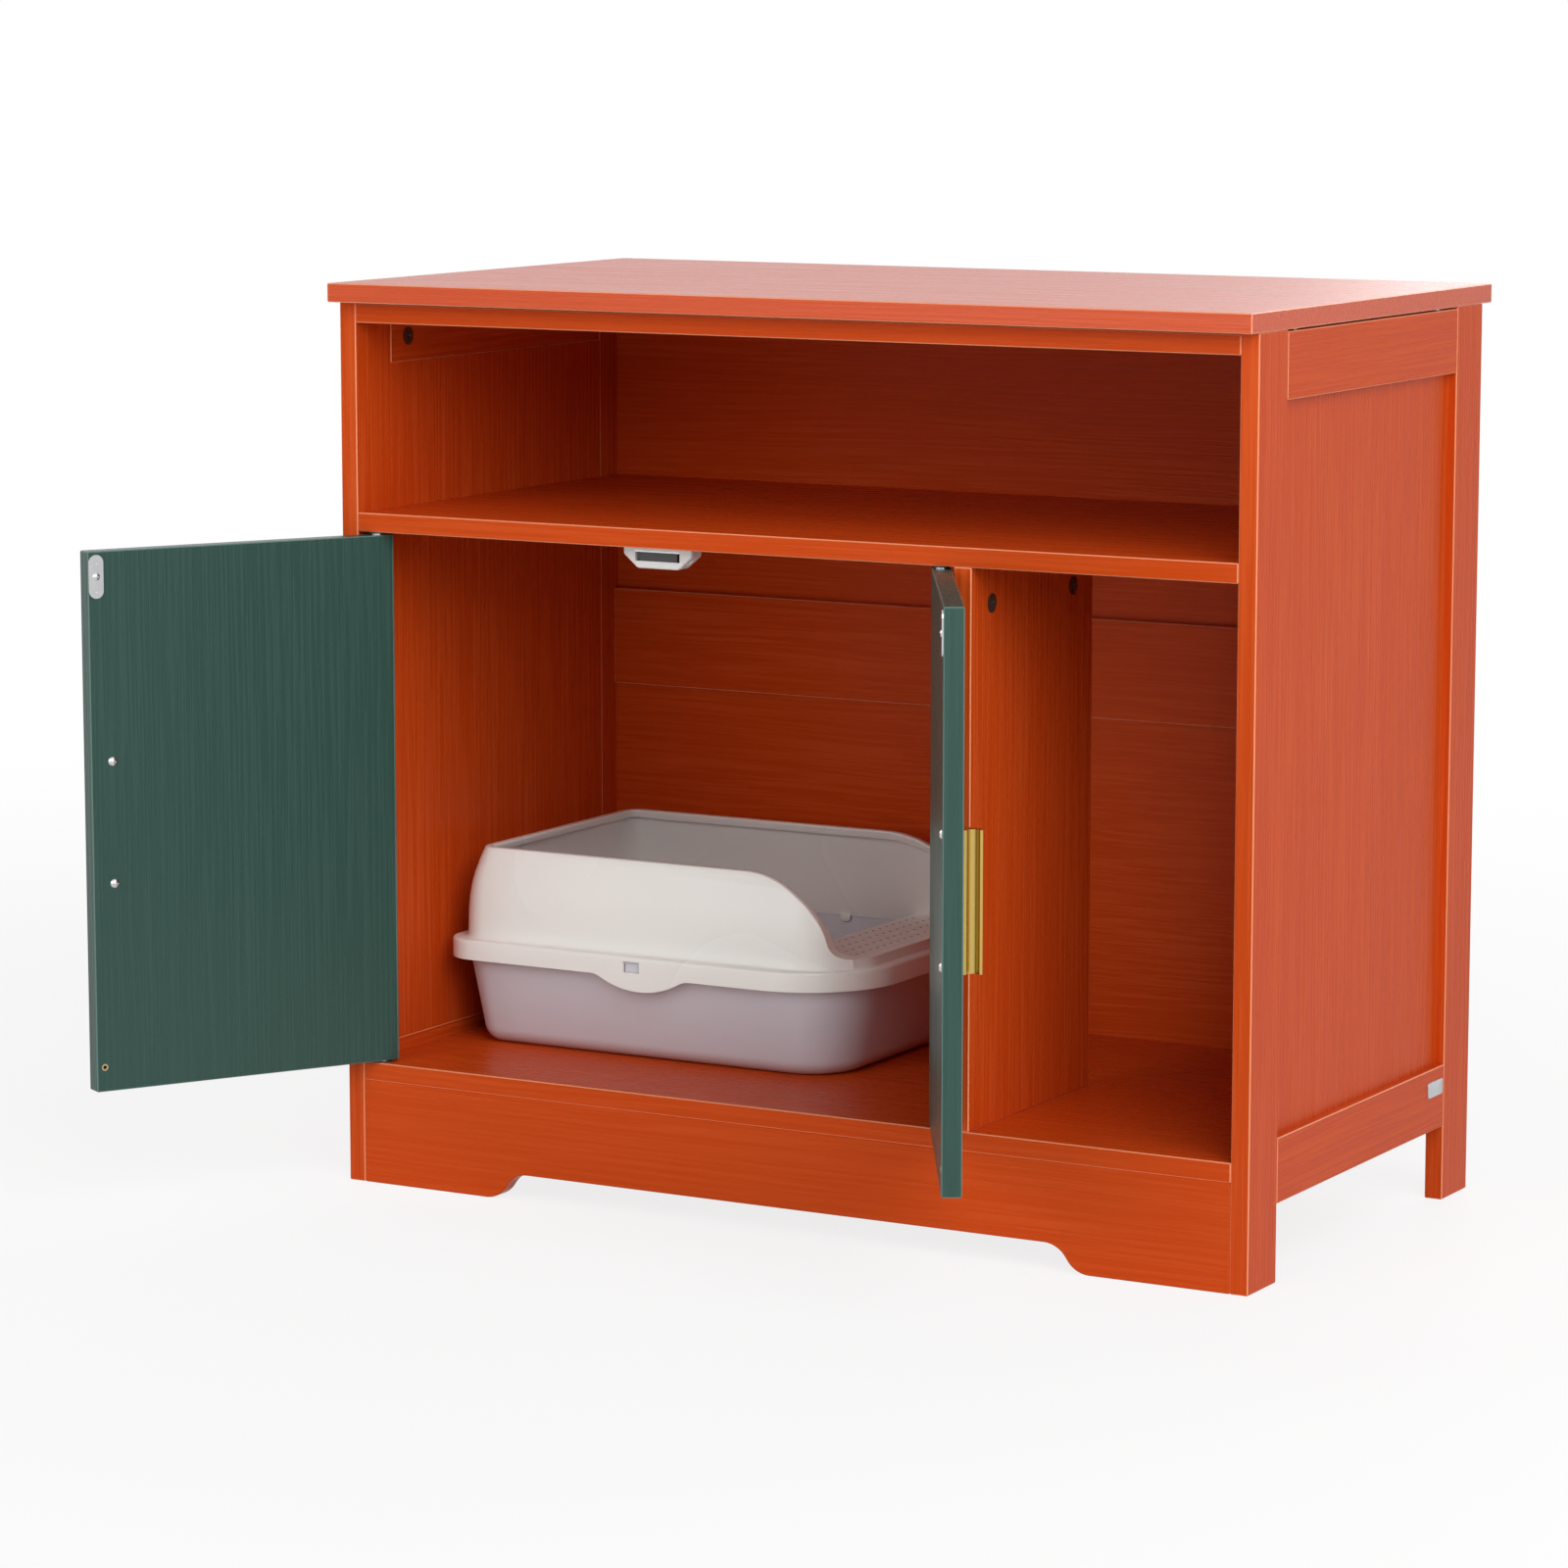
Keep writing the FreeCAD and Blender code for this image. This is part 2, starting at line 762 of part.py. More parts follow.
cam_row(
    "divider",
    divider,
    middle_shelf,
    divider_right,
    "-X",
    divider_left + half_board,
    shelf_low,
    (s.divider_cam_from_edge, s.divider_depth - s.divider_cam_from_edge),
)
side_cam_rows = (s.side_cam_from_edge, s.frame_depth - s.side_cam_from_edge)
for side in SIDES:
    cam_row(
        f"{side}_rail",
        frames[side]["top_rail"],
        top_panel,
        s.board if side == "left" else right_face,
        "-X" if side == "left" else "+X",
        half_board if side == "left" else right_face + half_board,
        rail_top,
        side_cam_rows,
    )


# ---------------------------------------------------------------- doors
class DoorPiece(Piece):
    """A piece that swings with a door.

    Its frame stands on the pivot. X runs from the pivot towards the free edge and Y runs into the
    cabinet while the door is shut; the right door's pieces are mirrored in X.
    """

    def __init__(self, name, side):
        super().__init__(name)
        self.mirrored = side == "right"
        pivot = divider_left - pivot_inset if self.mirrored else s.board + pivot_inset
        opens = FreeCAD.Vector(0, 0, 1 if self.mirrored else -1)
        rest = FreeCAD.Rotation(opens, SIZES["door_open"])
        place(self.body, stand((pivot, door_face, ZERO)), rest)
        bind(self.body, **{"Placement.Rotation.Angle": s.door_open})

    def box(self, name, low, high, cut=True):
        if self.mirrored:
            low, high = (-high[0], *low[1:]), (-low[0], *high[1:])
        return super().box(name, low, high, cut)

    def rod(self, name, start, direction, radius, length, cut=True):
        if self.mirrored:
            start = (-start[0], *start[1:])
        return super().rod(name, start, direction, radius, length, cut)

    def outline(self, name, plane, corners, arcs=None, offset=(ZERO, ZERO, ZERO)):
        if self.mirrored:
            offset = (-offset[0], *offset[1:])
        return super().outline(name, plane, corners, arcs, offset, self.mirrored)


def screw(piece, name, centre, face, radius, bite, head_radius, head_height):
    """A domed screw with a cross slot: its head stands on a face that looks to +Y."""
    corners = [
        (ZERO, -bite),
        (radius / 2, -bite),
        (radius, -bite + radius),
        (radius, ZERO),
        (head_radius, ZERO),
        (ZERO, head_height),
    ]
    dome = (head_radius * head_radius + head_height * head_height) / (head_height * 2)
    offset = (centre[0], face, centre[1])
    profile = piece.outline(f"{name}_profile", "XY", corners, {4: (dome, -1)}, offset)
    piece.feature("Revolution", f"{name}_turned", profile)
    top = face + head_height
    half_long = s.cross_slot_long / 2
    half_wide = s.cross_slot_wide / 2
    for slot, reach_x, reach_z in (("slot_x", half_long, half_wide), ("slot_z", half_wide, half_long)):
        piece.box(
            f"{name}_{slot}",
            (centre[0] - reach_x, top - s.cross_slot_deep, centre[1] - reach_z),
            (centre[0] + reach_x, top, centre[1] + reach_z),
        )


def pivot_pins(side):
    """The two pins a door turns on, each with the collar that keeps the door off the board."""
    pins = DoorPiece(f"{side}_door_pins", side)
    tip = s.pin_tip_chamfer
    for name, end, outwards in (("low", door_low, -1), ("high", door_high, 1)):
        reach = s.pin_collar_thick + s.pin_in_bushing
        if name == "high":
            reach = s.door_head_gap - s.bushing_flange_thick + s.pin_in_bushing
        profile = pins.outline(
            f"{name}_profile",
            "XZ",
            [
                (ZERO, end - s.pin_in_door * outwards),
                (s.pin_radius, end - s.pin_in_door * outwards),
                (s.pin_radius, end),
                (s.pin_collar_radius, end),
                (s.pin_collar_radius, end + s.pin_collar_thick * outwards),
                (s.pin_radius, end + s.pin_collar_thick * outwards),
                (s.pin_radius, end + (reach - tip) * outwards),
                (s.pin_radius - tip, end + reach * outwards),
                (ZERO, end + reach * outwards),
            ],
        )
        pins.feature("Revolution", f"{name}_turned", profile)


def pivot_bushings(side):
    """The two flanged bushings in the shelves that a door's pins turn in."""
    pivot = s.board + pivot_inset if side == "left" else divider_left - pivot_inset
    bushings = Piece(f"{side}_door_bushings", (pivot, door_face, ZERO))
    bore = s.pin_radius + s.pin_play
    blind = s.bushing_flange_thick + s.bushing_long - s.pin_in_bushing
    for name, face, outwards in (("low", floor_top, -1), ("high", shelf_low, 1)):
        inner_end = face + (s.bushing_long - blind / 2) * outwards
        profile = bushings.outline(
            f"{name}_profile",
            "XZ",
            [
                (bore, face - s.bushing_flange_thick * outwards),
                (s.bushing_flange_radius, face - s.bushing_flange_thick * outwards),
                (s.bushing_flange_radius, face),
                (s.bushing_radius, face),
                (s.bushing_radius, face + s.bushing_long * outwards),
                (ZERO, face + s.bushing_long * outwards),
                (ZERO, inner_end),
                (bore, inner_end),
            ],
        )
        bushings.feature("Revolution", f"{name}_turned", profile)
    bottom_shelf.rod(
        f"{side}_bushing_hole", (pivot, door_face, floor_top), "-Z", s.bushing_radius, s.bushing_long
    )
    middle_shelf.rod(
        f"{side}_bushing_hole", (pivot, door_face, shelf_low), "+Z", s.bushing_radius, s.bushing_long
    )


def make_handle(side, door):
    """A long pull with a hollow for the fingertips, and the two screws that hold it."""
    handle = DoorPiece(f"{side}_handle", side)
    lip = s.handle_from_edge + s.handle_lip_setback
    back = s.handle_from_edge + s.handle_base_wide
    under_lip = s.handle_proud - s.handle_lip_thick
    profile = [
        (s.handle_from_edge, ZERO),
        (s.handle_from_edge, s.handle_base_thick),
        (lip, s.handle_base_thick),
        (lip, under_lip),
        (lip, s.handle_proud),
        (back - s.handle_back_lean, s.handle_proud),
        (back, s.handle_base_thick),
        (back, ZERO),
    ]
    corners = [(door_free - inset, -door_face - proud) for inset, proud in profile]
    hollow = (under_lip - s.handle_base_thick) / 2 * 1.01
    low = door_mid - s.handle_long / 2
    sketch = handle.outline("profile", "XY", corners, {2: (hollow, -1)}, (ZERO, ZERO, low))
    handle.feature("Pad", "bar", sketch, Length=s.handle_long)
    screws = DoorPiece(f"{side}_handle_screws", side)
    across_door = door_free - s.handle_screw_from_edge
    reach = s.handle_screw_spacing / 2
    for name, height in (("low", door_mid - reach), ("high", door_mid + reach)):
        screw(
            screws,
            name,
            (across_door, height),
            door_face,
            s.handle_screw_radius,
            s.door_thick + s.handle_screw_bite,
            s.handle_screw_head_radius,
            s.handle_screw_head_height,
        )
        bore = s.handle_screw_radius + s.handle_screw_play
        door.rod(f"{name}_handle_hole", (across_door, door_face, height), "-Y", bore, s.door_thick)
        handle.rod(
            f"{name}_screw_hole",
            (across_door, -door_face, height),
            "-Y",
            s.handle_screw_radius,
            s.handle_screw_bite,
        )


def make_strike(side, door):
    """The steel plate the catch holds, its screw, and the spare pilot hole below."""
    plate = DoorPiece(f"{side}_strike_plate", side)
    centre = door_free - s.strike_from_edge
    height = door_high - s.strike_from_head
    radius = s.strike_wide / 2
    reach = s.strike_long / 2 - radius
    face = door_face + s.strike_thick
    plate.box(
        "middle",
        (centre - radius, door_face, height - reach),
        (centre + radius, face, height + reach),
        cut=False,
    )
    for name, end in (("low_end", height - reach), ("high_end", height + reach)):
        plate.rod(name, (centre, door_face, end), "+Y", radius, s.strike_thick, cut=False)
    plate.rod("screw_hole", (centre, face, height), "-Y", s.strike_screw_radius, s.strike_thick)
    for name, offset in (("low_dimple", -s.strike_dimple_offset), ("high_dimple", s.strike_dimple_offset)):
        start = (centre, face, height + offset)
        plate.rod(name, start, "-Y", s.strike_dimple_radius, s.strike_thick / 2)
    screw_piece = DoorPiece(f"{side}_strike_screw", side)
    screw(
        screw_piece,
        "strike",
        (centre, height),
        face,
        s.strike_screw_radius,
        s.strike_thick + s.strike_screw_bite,
        s.strike_screw_head_radius,
        s.strike_screw_head_height,
    )
    pilots = (("strike_hole", height), ("spare_pilot", door_low + s.strike_from_head))
    for name, level in pilots:
        start = (centre, door_face, level)
        door.rod(name, start, "-Y", s.strike_screw_radius, s.strike_screw_bite)


def make_door(side):
    """A door with everything that swings with it."""
    door = DoorPiece(f"{side}_door", side)
    hinge = -s.pivot_from_edge
    door.box("blank", (hinge, -door_face, door_low), (door_free, door_face, door_high), cut=False)
    hinge_x = -hinge.value if door.mirrored else hinge.value
    height = (door_high - door_low).value
    door.fillet(
        "hinge_round",
        s.door_hinge_round,
        lambda edge: abs(edge.CenterOfMass.x - hinge_x) < 0.01 and abs(edge.Length - height) < 0.01,
    )
    doc.recompute()
    door.chamfer(door.body.Tip, s.door_edge_chamfer)
    door.rod("low_pin_hole", (ZERO, ZERO, door_low), "+Z", s.pin_radius, s.pin_in_door)
    door.rod("high_pin_hole", (ZERO, ZERO, door_high), "-Z", s.pin_radius, s.pin_in_door)
    pivot_pins(side)
    pivot_bushings(side)
    make_handle(side, door)
    make_strike(side, door)


for side in SIDES:
    make_door(side)


# ---------------------------------------------------------------- magnetic catch
def make_catch():
    """The double catch under the middle shelf: housing, magnet, pole plates and screws."""
    middle = s.board + s.bay_width / 2
    front = s.door_thick + s.strike_thick + s.catch_door_gap
    back = front + s.catch_deep
    low = shelf_low - s.catch_high
    shoulder = shelf_low - s.catch_side_high
    half = s.catch_wide / 2
    nose = s.catch_nose_wide / 2
    housing = Piece("catch_housing")
    profile = housing.outline(
        "profile",
        "XZ",
        [
            (middle - half, shelf_low),
            (middle - half, shoulder),
            (middle - nose, low),
            (middle + nose, low),
            (middle + half, shoulder),
            (middle + half, shelf_low),
        ],
        offset=(ZERO, ZERO, -back),
    )
    pad = housing.feature("Pad", "block", profile, Length=s.catch_deep)
    doc.recompute()
    housing.chamfer(pad, s.catch_edge_round)
    pocket_low = low + s.magnet_low_wall
    pocket_high = pocket_low + s.magnet_high + s.pole_thick * 2
    pocket_half = s.catch_pocket_wide / 2
    housing.box(
        "pocket",
        (middle - pocket_half, front, pocket_low),
        (middle + pocket_half, front + s.catch_pocket_deep, pocket_high),
    )
    poles = Piece("catch_pole_plates")
    for name, level in (("low_pole", pocket_low), ("high_pole", pocket_high - s.pole_thick)):
        poles.box(
            name,
            (middle - pocket_half, front, level),
            (middle + pocket_half, front + s.pole_deep, level + s.pole_thick),
            cut=False,
        )
    magnet = Piece("catch_magnet")
    magnet_half = s.magnet_wide / 2
    magnet_front = front + s.magnet_setback
    magnet.box(
        "block",
        (middle - magnet_half, magnet_front, pocket_low + s.pole_thick),
        (middle + magnet_half, magnet_front + s.magnet_deep, pocket_high - s.pole_thick),
        cut=False,
    )
    screws = Piece("catch_screws")
    row = front + s.catch_deep / 2
    head = shelf_low - s.catch_screw_web
    radius = s.catch_screw_radius
    head_radius = s.catch_screw_head_radius
    head_height = s.catch_screw_head_height
    dome = (head_radius * head_radius + head_height * head_height) / (head_height * 2)
    tip = s.catch_screw_web + s.catch_screw_bite
    corners = [
        (ZERO, -head_height),
        (head_radius, ZERO),
        (radius, ZERO),
        (radius, tip - radius),
        (radius / 2, tip),
        (ZERO, tip),
    ]
    half_long = s.cross_slot_long / 2
    half_wide = s.cross_slot_wide / 2
    lowest = head - head_height
    for side, column in (
        ("left", middle - s.catch_screw_offset),
        ("right", middle + s.catch_screw_offset),
    ):
        offset = (column, head, -row)
        profile = screws.outline(f"{side}_profile", "XZ", corners, {0: (dome, -1)}, offset)
        screws.feature("Revolution", f"{side}_turned", profile)
        for slot, reach_x, reach_y in (
            ("slot_x", half_long, half_wide),
            ("slot_y", half_wide, half_long),
        ):
            screws.box(
                f"{side}_{slot}",
                (column - reach_x, row - reach_y, lowest),
                (column + reach_x, row + reach_y, lowest + s.cross_slot_deep),
            )
        room = head_radius + s.catch_screw_play
        housing.rod(f"{side}_head_room", (column, row, low), "+Z", room, head - low)
        bore = radius + s.catch_screw_play
        housing.rod(f"{side}_screw_hole", (column, row, head), "+Z", bore, s.catch_screw_web)
        middle_shelf.rod(
            f"catch_{side}_hole", (column, row, shelf_low), "+Z", radius, s.catch_screw_bite
        )


make_catch()


# ---------------------------------------------------------------- litter tray
def round_outline(piece, name, level, inset, left_round, right_round):
    """A level outline of the tray, stepped in from its skirt, with its own corner rounds."""
    left = s.tray_left + inset
    right = s.tray_left + s.tray_long - inset
    front = s.tray_front + inset
    rear = s.tray_front + tray_deep - inset
    corners = [
        (left + left_round, front),
        (right - right_round, front),
        (right, front + right_round),
        (right, rear - right_round),
        (right - right_round, rear),
        (left + left_round, rear),
        (left, rear - left_round),
        (left, front + left_round),
    ]
    arcs = {1: (right_round, -1), 3: (right_round, -1), 5: (left_round, -1), 7: (left_round, -1)}
    return piece.outline(name, "XY", corners, arcs, (ZERO, ZERO, level))


def on_level(level):
    """A test for edges that lie at one height."""
    height = level.value
    return lambda edge: all(abs(vertex.Point.z - height) < 0.01 for vertex in edge.Vertexes)


def drafted(piece, name, level, height, insets, rounds, wider):
    """A block with leaning walls; its wider end, top or foot, has the outline that is given."""
    outline = round_outline(piece, f"{name}_outline", level, insets, *rounds)
    piece.feature("Pad", f"{name}_block", outline, Length=height)
    doc.recompute()
    base = piece.body.Tip
    middle = (level + height / 2).value
    fixed = (level + height if wider == "top" else level).value
    walls = []
    for number, face in enumerate(base.Shape.Faces, start=1):
        if abs(face.CenterOfMass.z - middle) < 0.01:
            walls.append(f"Face{number}")
        elif abs(face.CenterOfMass.z - fixed) < 0.01:
            neutral = f"Face{number}"
    lean = piece.body.newObject("PartDesign::Draft", f"{piece.name}_{name}_lean")
    lean.Base = (base, walls)
    lean.NeutralPlane = (base, [neutral])
    lean.Reversed = wider == "top"
    return lean


def make_tub():
    """The tub: leaning walls, a rounded foot and a flange that the hood rests on."""
    tub = Piece("tray_tub")
    top = floor_top + s.tub_height
    wall = s.tray_wall
    lean = f"atan({(s.tub_draft / s.tub_height).text})"
    rounds = (s.tub_left_round, s.tub_right_round)
    drafted(tub, "outside", floor_top, s.tub_height, s.tub_inset, rounds, "top").setExpression(
        "Angle", lean
    )
    tub.fillet("foot_round", s.tub_foot_round, on_level(floor_top))
    flange_inset = wall + s.skirt_play
    flange = round_outline(
        tub,
        "flange_outline",
        top - wall,
        flange_inset,
        s.tray_left_round - flange_inset,
        s.tray_right_round - flange_inset,
    )
    tub.feature("Pad", "flange", flange, Length=wall)
    snap_left = s.tray_left + s.snap_from_left + s.snap_play
    snap_right = snap_left + s.snap_wide - s.snap_play * 2
    tub.box(
        "snap_block",
        (snap_left, s.tray_front + flange_inset, top - s.snap_high),
        (snap_right, s.tray_front + s.tub_inset + wall, top),
        cut=False,
    )
    hollow = Helper("tub_hollow")
    drafted(
        hollow,
        "inside",
        floor_top + wall,
        s.tub_height - wall,
        s.tub_inset + wall,
        (s.tub_left_round - wall, s.tub_right_round - wall),
        "top",
    ).setExpression("Angle", lean)
    hollow.fillet("floor_round", s.tub_floor_round, on_level(floor_top + wall))
    tub.combine("hollowed", "Cut", hollow)


def slope_corners(start, top, run, drop, share, sunk=ZERO):
    """Corners and arcs of an S that falls from one level to another, or of its copy sunk into
    the material by a given thickness. Both ends are level."""
    both = (run * run + drop * drop) / (drop * 2)
    upper = both * share
    lower = both - upper
    turn_x = start + run * share - sunk * run / both
    turn_z = top - drop * share - sunk * (size(1) - drop / both)
    corners = [(start, top - sunk), (turn_x, turn_z), (start + run, top - drop - sunk)]
    return corners, {0: (upper - sunk, 1), 1: (lower + sunk, -1)}


def cut_above(piece, name, corners, arcs, high):
    """Cut away what lies above a slope that runs level to the tray's left and right."""
    left = s.tray_left
    right = s.tray_left + s.tray_long
    rear = s.tray_front + tray_deep
    ends = [(right, corners[-1][1]), (right, high), (left, high), (left, corners[0][1])]
    sketch = piece.outline(name, "XZ", corners + ends, arcs, offset=(ZERO, ZERO, -rear))
    piece.feature("Pocket", f"{name}_cut", sketch, Length=tray_deep).Reversed = True


def add_tabs(hood, low):
    """The curved tabs in the middle of the skirt's front and rear."""
    middle = s.tray_left + s.tray_long / 2
    half = s.tab_wide / 2
    both = (half * half + s.tab_drop * s.tab_drop) / (s.tab_drop * 2)
    near = half * s.tab_share
    fall = s.tab_drop * s.tab_share
    corners = [
        (middle - half, low),
        (middle - half + near, low - fall),
        (middle, low - s.tab_drop),
        (middle + half - near, low - fall),
        (middle + half, low),
    ]
    small = both * s.tab_share
    large = both - small
    arcs = {0: (small, 1), 1: (large, -1), 2: (large, -1), 3: (small, 1)}
    for name, back in (
        ("front_tab", s.tray_front + s.tray_wall),
        ("rear_tab", s.tray_front + tray_deep),
    ):
        sketch = hood.outline(f"{name}_outline", "XZ", corners, arcs, offset=(ZERO, ZERO, -back))
        hood.feature("Pad", name, sketch, Length=s.tray_wall)


def hood_block(name, level, height, inset, less_round):
    """A helper block with the lean of the hood's walls."""
    block = Helper(name)
    lean = f"atan({(s.hood_draft / s.hood_height).text})"
    rounds = (s.hood_left_round - less_round, s.hood_right_round - less_round)
    drafted(block, "form", level, height, inset, rounds, "foot").setExpression("Angle", lean)
    return block


def make_hood():
    """The hood: skirt with tabs, leaning walls with a thick rim that falls in an S to the entry,
    and the sloping step that the cat wipes its feet on."""
    hood = Piece("tray_hood")
    wall = s.tray_wall
    seat = floor_top + s.tub_height
    shoulder = seat + s.skirt_top_thick
    rim = shoulder + s.hood_height
    skirt_low = seat - s.skirt_drop
    skirt = round_outline(hood, "skirt", skirt_low, ZERO, s.tray_left_round, s.tray_right_round)
    hood.feature("Pad", "skirt_block", skirt, Length=shoulder - skirt_low)
    hood.fillet("skirt_round", s.skirt_edge_round, on_level(shoulder))
    add_tabs(hood, skirt_low)
    walls = hood_block("hood_walls", shoulder, s.hood_height, s.hood_inset, ZERO)
    hood.combine("walls", "Fuse", walls)
    under = round_outline(
        hood, "skirt_inside", skirt_low, wall, s.tray_left_round - wall, s.tray_right_round - wall
    )
    hood.feature("Pocket", "skirt_hollow", under, Length=s.skirt_drop).Reversed = True
    start = s.tray_left + s.slope_from_left
    slope = (start, rim, s.slope_run, rim - shoulder - s.entry_rise, s.slope_share)
    tall = s.hood_height + s.skirt_top_thick
    wide = hood_block("hood_hollow", seat, tall, s.hood_inset + wall, wall)
    cut_above(wide, "under_rim", *slope_corners(*slope, s.rim_high), rim + wall)
    hood.combine("hollowed", "Cut", wide)
    mouth = s.hood_inset + wall + s.rim_inward
    narrow = hood_block("hood_mouth", seat, tall, mouth, wall + s.rim_inward)
    hood.combine("opened", "Cut", narrow)
    cut_above(hood, "slope", *slope_corners(*slope), rim + wall)
    add_step(hood, seat, shoulder)
    snap_left = s.tray_left + s.snap_from_left
    hood.box(
        "snap_window",
        (snap_left, s.tray_front, seat - s.snap_high),
        (snap_left + s.snap_wide, s.tray_front + wall, seat),
    )


def add_step(hood, seat, shoulder):
    """The sloping step inside the low end, joined to the walls all round."""
    step = Helper("entry_step")
    inner = s.tray_left + s.step_from_left
    outer = s.tray_left + s.tray_long - s.hood_inset
    low = shoulder
    high = shoulder + s.step_rise
    corners = [(inner, low), (outer, high), (outer, high + s.step_thick), (inner, low + s.step_thick)]
    rear = s.tray_front + tray_deep
    sketch = step.outline("profile", "XZ", corners, offset=(ZERO, ZERO, -rear))
    step.feature("Pad", "plate", sketch, Length=tray_deep)
    bounds = hood_block("step_bounds", seat, s.hood_height, s.hood_inset + s.tray_wall / 2, ZERO)
    step.combine("trimmed", "Common", bounds)
    hood.combine("step", "Fuse", step)


make_tub()
make_hood()

# ---------------------------------------------------------------- checks and files
doc.recompute()
for thing in doc.Objects:
    if "Invalid" in thing.State or "Error" in thing.State:
        raise RuntimeError(f"{thing.Name} did not compute: {thing.State}")
os.makedirs("parts", exist_ok=True)
for piece in pieces:
    shape = piece.Shape
    if shape.isNull() or not shape.isValid():
        raise RuntimeError(f"{piece.Label} has no valid shape")
    shape.exportStep(f"parts/{piece.Label}.step")
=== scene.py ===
"""The looks of a cat litter box cabinet, dressed over its packed solids.

Lengths are metres. The cabinet stands at the origin with its front towards -Y.
"""

import json
import math

import bpy
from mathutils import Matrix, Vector

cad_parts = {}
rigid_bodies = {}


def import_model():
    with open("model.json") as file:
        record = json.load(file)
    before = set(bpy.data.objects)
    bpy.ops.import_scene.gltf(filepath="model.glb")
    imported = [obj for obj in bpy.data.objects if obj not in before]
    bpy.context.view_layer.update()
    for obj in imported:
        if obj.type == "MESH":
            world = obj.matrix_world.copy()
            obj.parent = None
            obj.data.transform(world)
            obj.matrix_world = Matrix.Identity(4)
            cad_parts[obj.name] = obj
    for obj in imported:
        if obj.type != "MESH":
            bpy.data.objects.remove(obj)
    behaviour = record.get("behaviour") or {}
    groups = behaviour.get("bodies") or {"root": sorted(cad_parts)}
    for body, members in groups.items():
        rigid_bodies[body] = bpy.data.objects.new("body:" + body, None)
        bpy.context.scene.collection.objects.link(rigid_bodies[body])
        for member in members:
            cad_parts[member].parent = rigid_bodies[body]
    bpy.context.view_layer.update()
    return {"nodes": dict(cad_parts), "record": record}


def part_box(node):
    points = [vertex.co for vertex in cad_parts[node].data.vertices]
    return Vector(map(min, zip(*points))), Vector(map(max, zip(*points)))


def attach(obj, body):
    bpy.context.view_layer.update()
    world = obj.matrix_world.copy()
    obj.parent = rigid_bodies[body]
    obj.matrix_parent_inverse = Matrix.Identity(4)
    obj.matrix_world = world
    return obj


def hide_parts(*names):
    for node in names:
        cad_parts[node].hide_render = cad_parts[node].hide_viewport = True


bl_info = {
    "name": "Cat litter box cabinet",
    "version": (1, 0, 0),
    "blender": (4, 5, 0),
    "location": "View3D > Sidebar > Cabinet",
    "description": "Paints, fits out and lights a cabinet that hides a litter tray",
    "category": "Object",
}

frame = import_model()

SIDES = ("left", "right")


def on_both_sides(*parts):
    """The names of nodes that the left and the right side each have."""
    return [f"{side}_{part}" for side in SIDES for part in parts]


# Boards whose grain runs upright, from left to right, and from front to back. The
# back's boards and the top have the second run too, with a finish of their own.
UPRIGHT_BOARDS = ["divider"] + on_both_sides("front_post", "rear_post", "side_panel")
LEVEL_BOARDS = ["front_stretcher", "rear_stretcher", "middle_shelf", "bottom_shelf"]
DEEP_BOARDS = on_both_sides("top_rail", "bottom_rail")
BACK_BOARDS = ["back_rail", "upper_back_panel", "lower_back_panel"]
STEEL_PARTS = on_both_sides(
    "handle_screws", "strike_plate", "strike_screw", "door_pins", "rail_cam_bolts"
) + ["divider_cam_bolts", "catch_pole_plates", "catch_screws"]
CAM_NUTS = ["divider_cam_nuts"] + on_both_sides("rail_cam_nuts")
DOWELS = ["board_dowels"] + on_both_sides("frame_dowels")
BUSHINGS = on_both_sides("door_bushings")

# How the doors stand at rest, and the middles of the spare holes in their inner faces.
DOORS_OPEN = math.radians(120)
HOLE_PLACES = {
    "left": (-0.09475, -0.23386, 0.1205),
    "right": (0.64475, -0.23386, 0.1205),
}
RING_RADIUS = 0.0027
RING_WALL = 0.0012
RING_THICK = 0.0006

# The hood's walls above its shoulder, where they are cut into levels, and the bevels
# of its rim and lip: from what height on, and between which angles of an edge.
HOOD_WALL_HIGH = 0.074
WALL_CUTS = (0.15, 0.3, 0.45, 0.6, 0.72, 0.84, 0.93)
SWELL_LIFT = 1.2
SAME_LEVEL = 0.00006
NEAR_POINTS = 0.0005
RIM_FOOT = 0.036
RIM_ANGLES = (85, 165)
LIP_FOOT = 0.040
LIP_ANGLES = (45, 84)
SHOULDER_FILLET = 0.002

# The grip on the step: its first bar from the hood's left end, and its round outline.
STEP_SLOPE = 0.0625
STEP_FACE = 0.0030
GRIP_START = 0.304
GRIP_RISE_RUN = 0.010
GRIP_COLUMNS = 4
GRIP_COLUMN_PITCH = 0.016
GRIP_ROW_PITCH = 0.0115
GRIP_END_MARGIN = 0.028
GRIP_SIDE_MARGIN = 0.018
GRIP_RIGHT_MARGIN = 0.016
GRIP_CORNER = 0.058
GRIP_HOLE_RADIUS = 0.0011
GRIP_HOLE_THICK = 0.0003

# The hood's clip, and its place from the left end, the rear and the rim.
CLIP_SIZE = (0.0095, 0.0022, 0.0065)
CLIP_FROM_LEFT = 0.2275
CLIP_FROM_REAR = 0.0128
CLIP_BELOW_RIM = 0.0795
CLIP_FOOT = 0.082
CLIP_ROUND = 0.0032
CLIP_EDGE = 0.0005

# The bare plate's place from the rail's rear end and above its middle.
PLATE_FROM_REAR = 0.019
PLATE_RAISED = 0.009
PLATE_CORNER = 0.0025
PLATE_EDGE = 0.0004

# Curves are shaded smooth below these angles.
SMOOTH = math.radians(35)
SMOOTH_GRIP = math.radians(40)
SMOOTH_PLATE = math.radians(30)

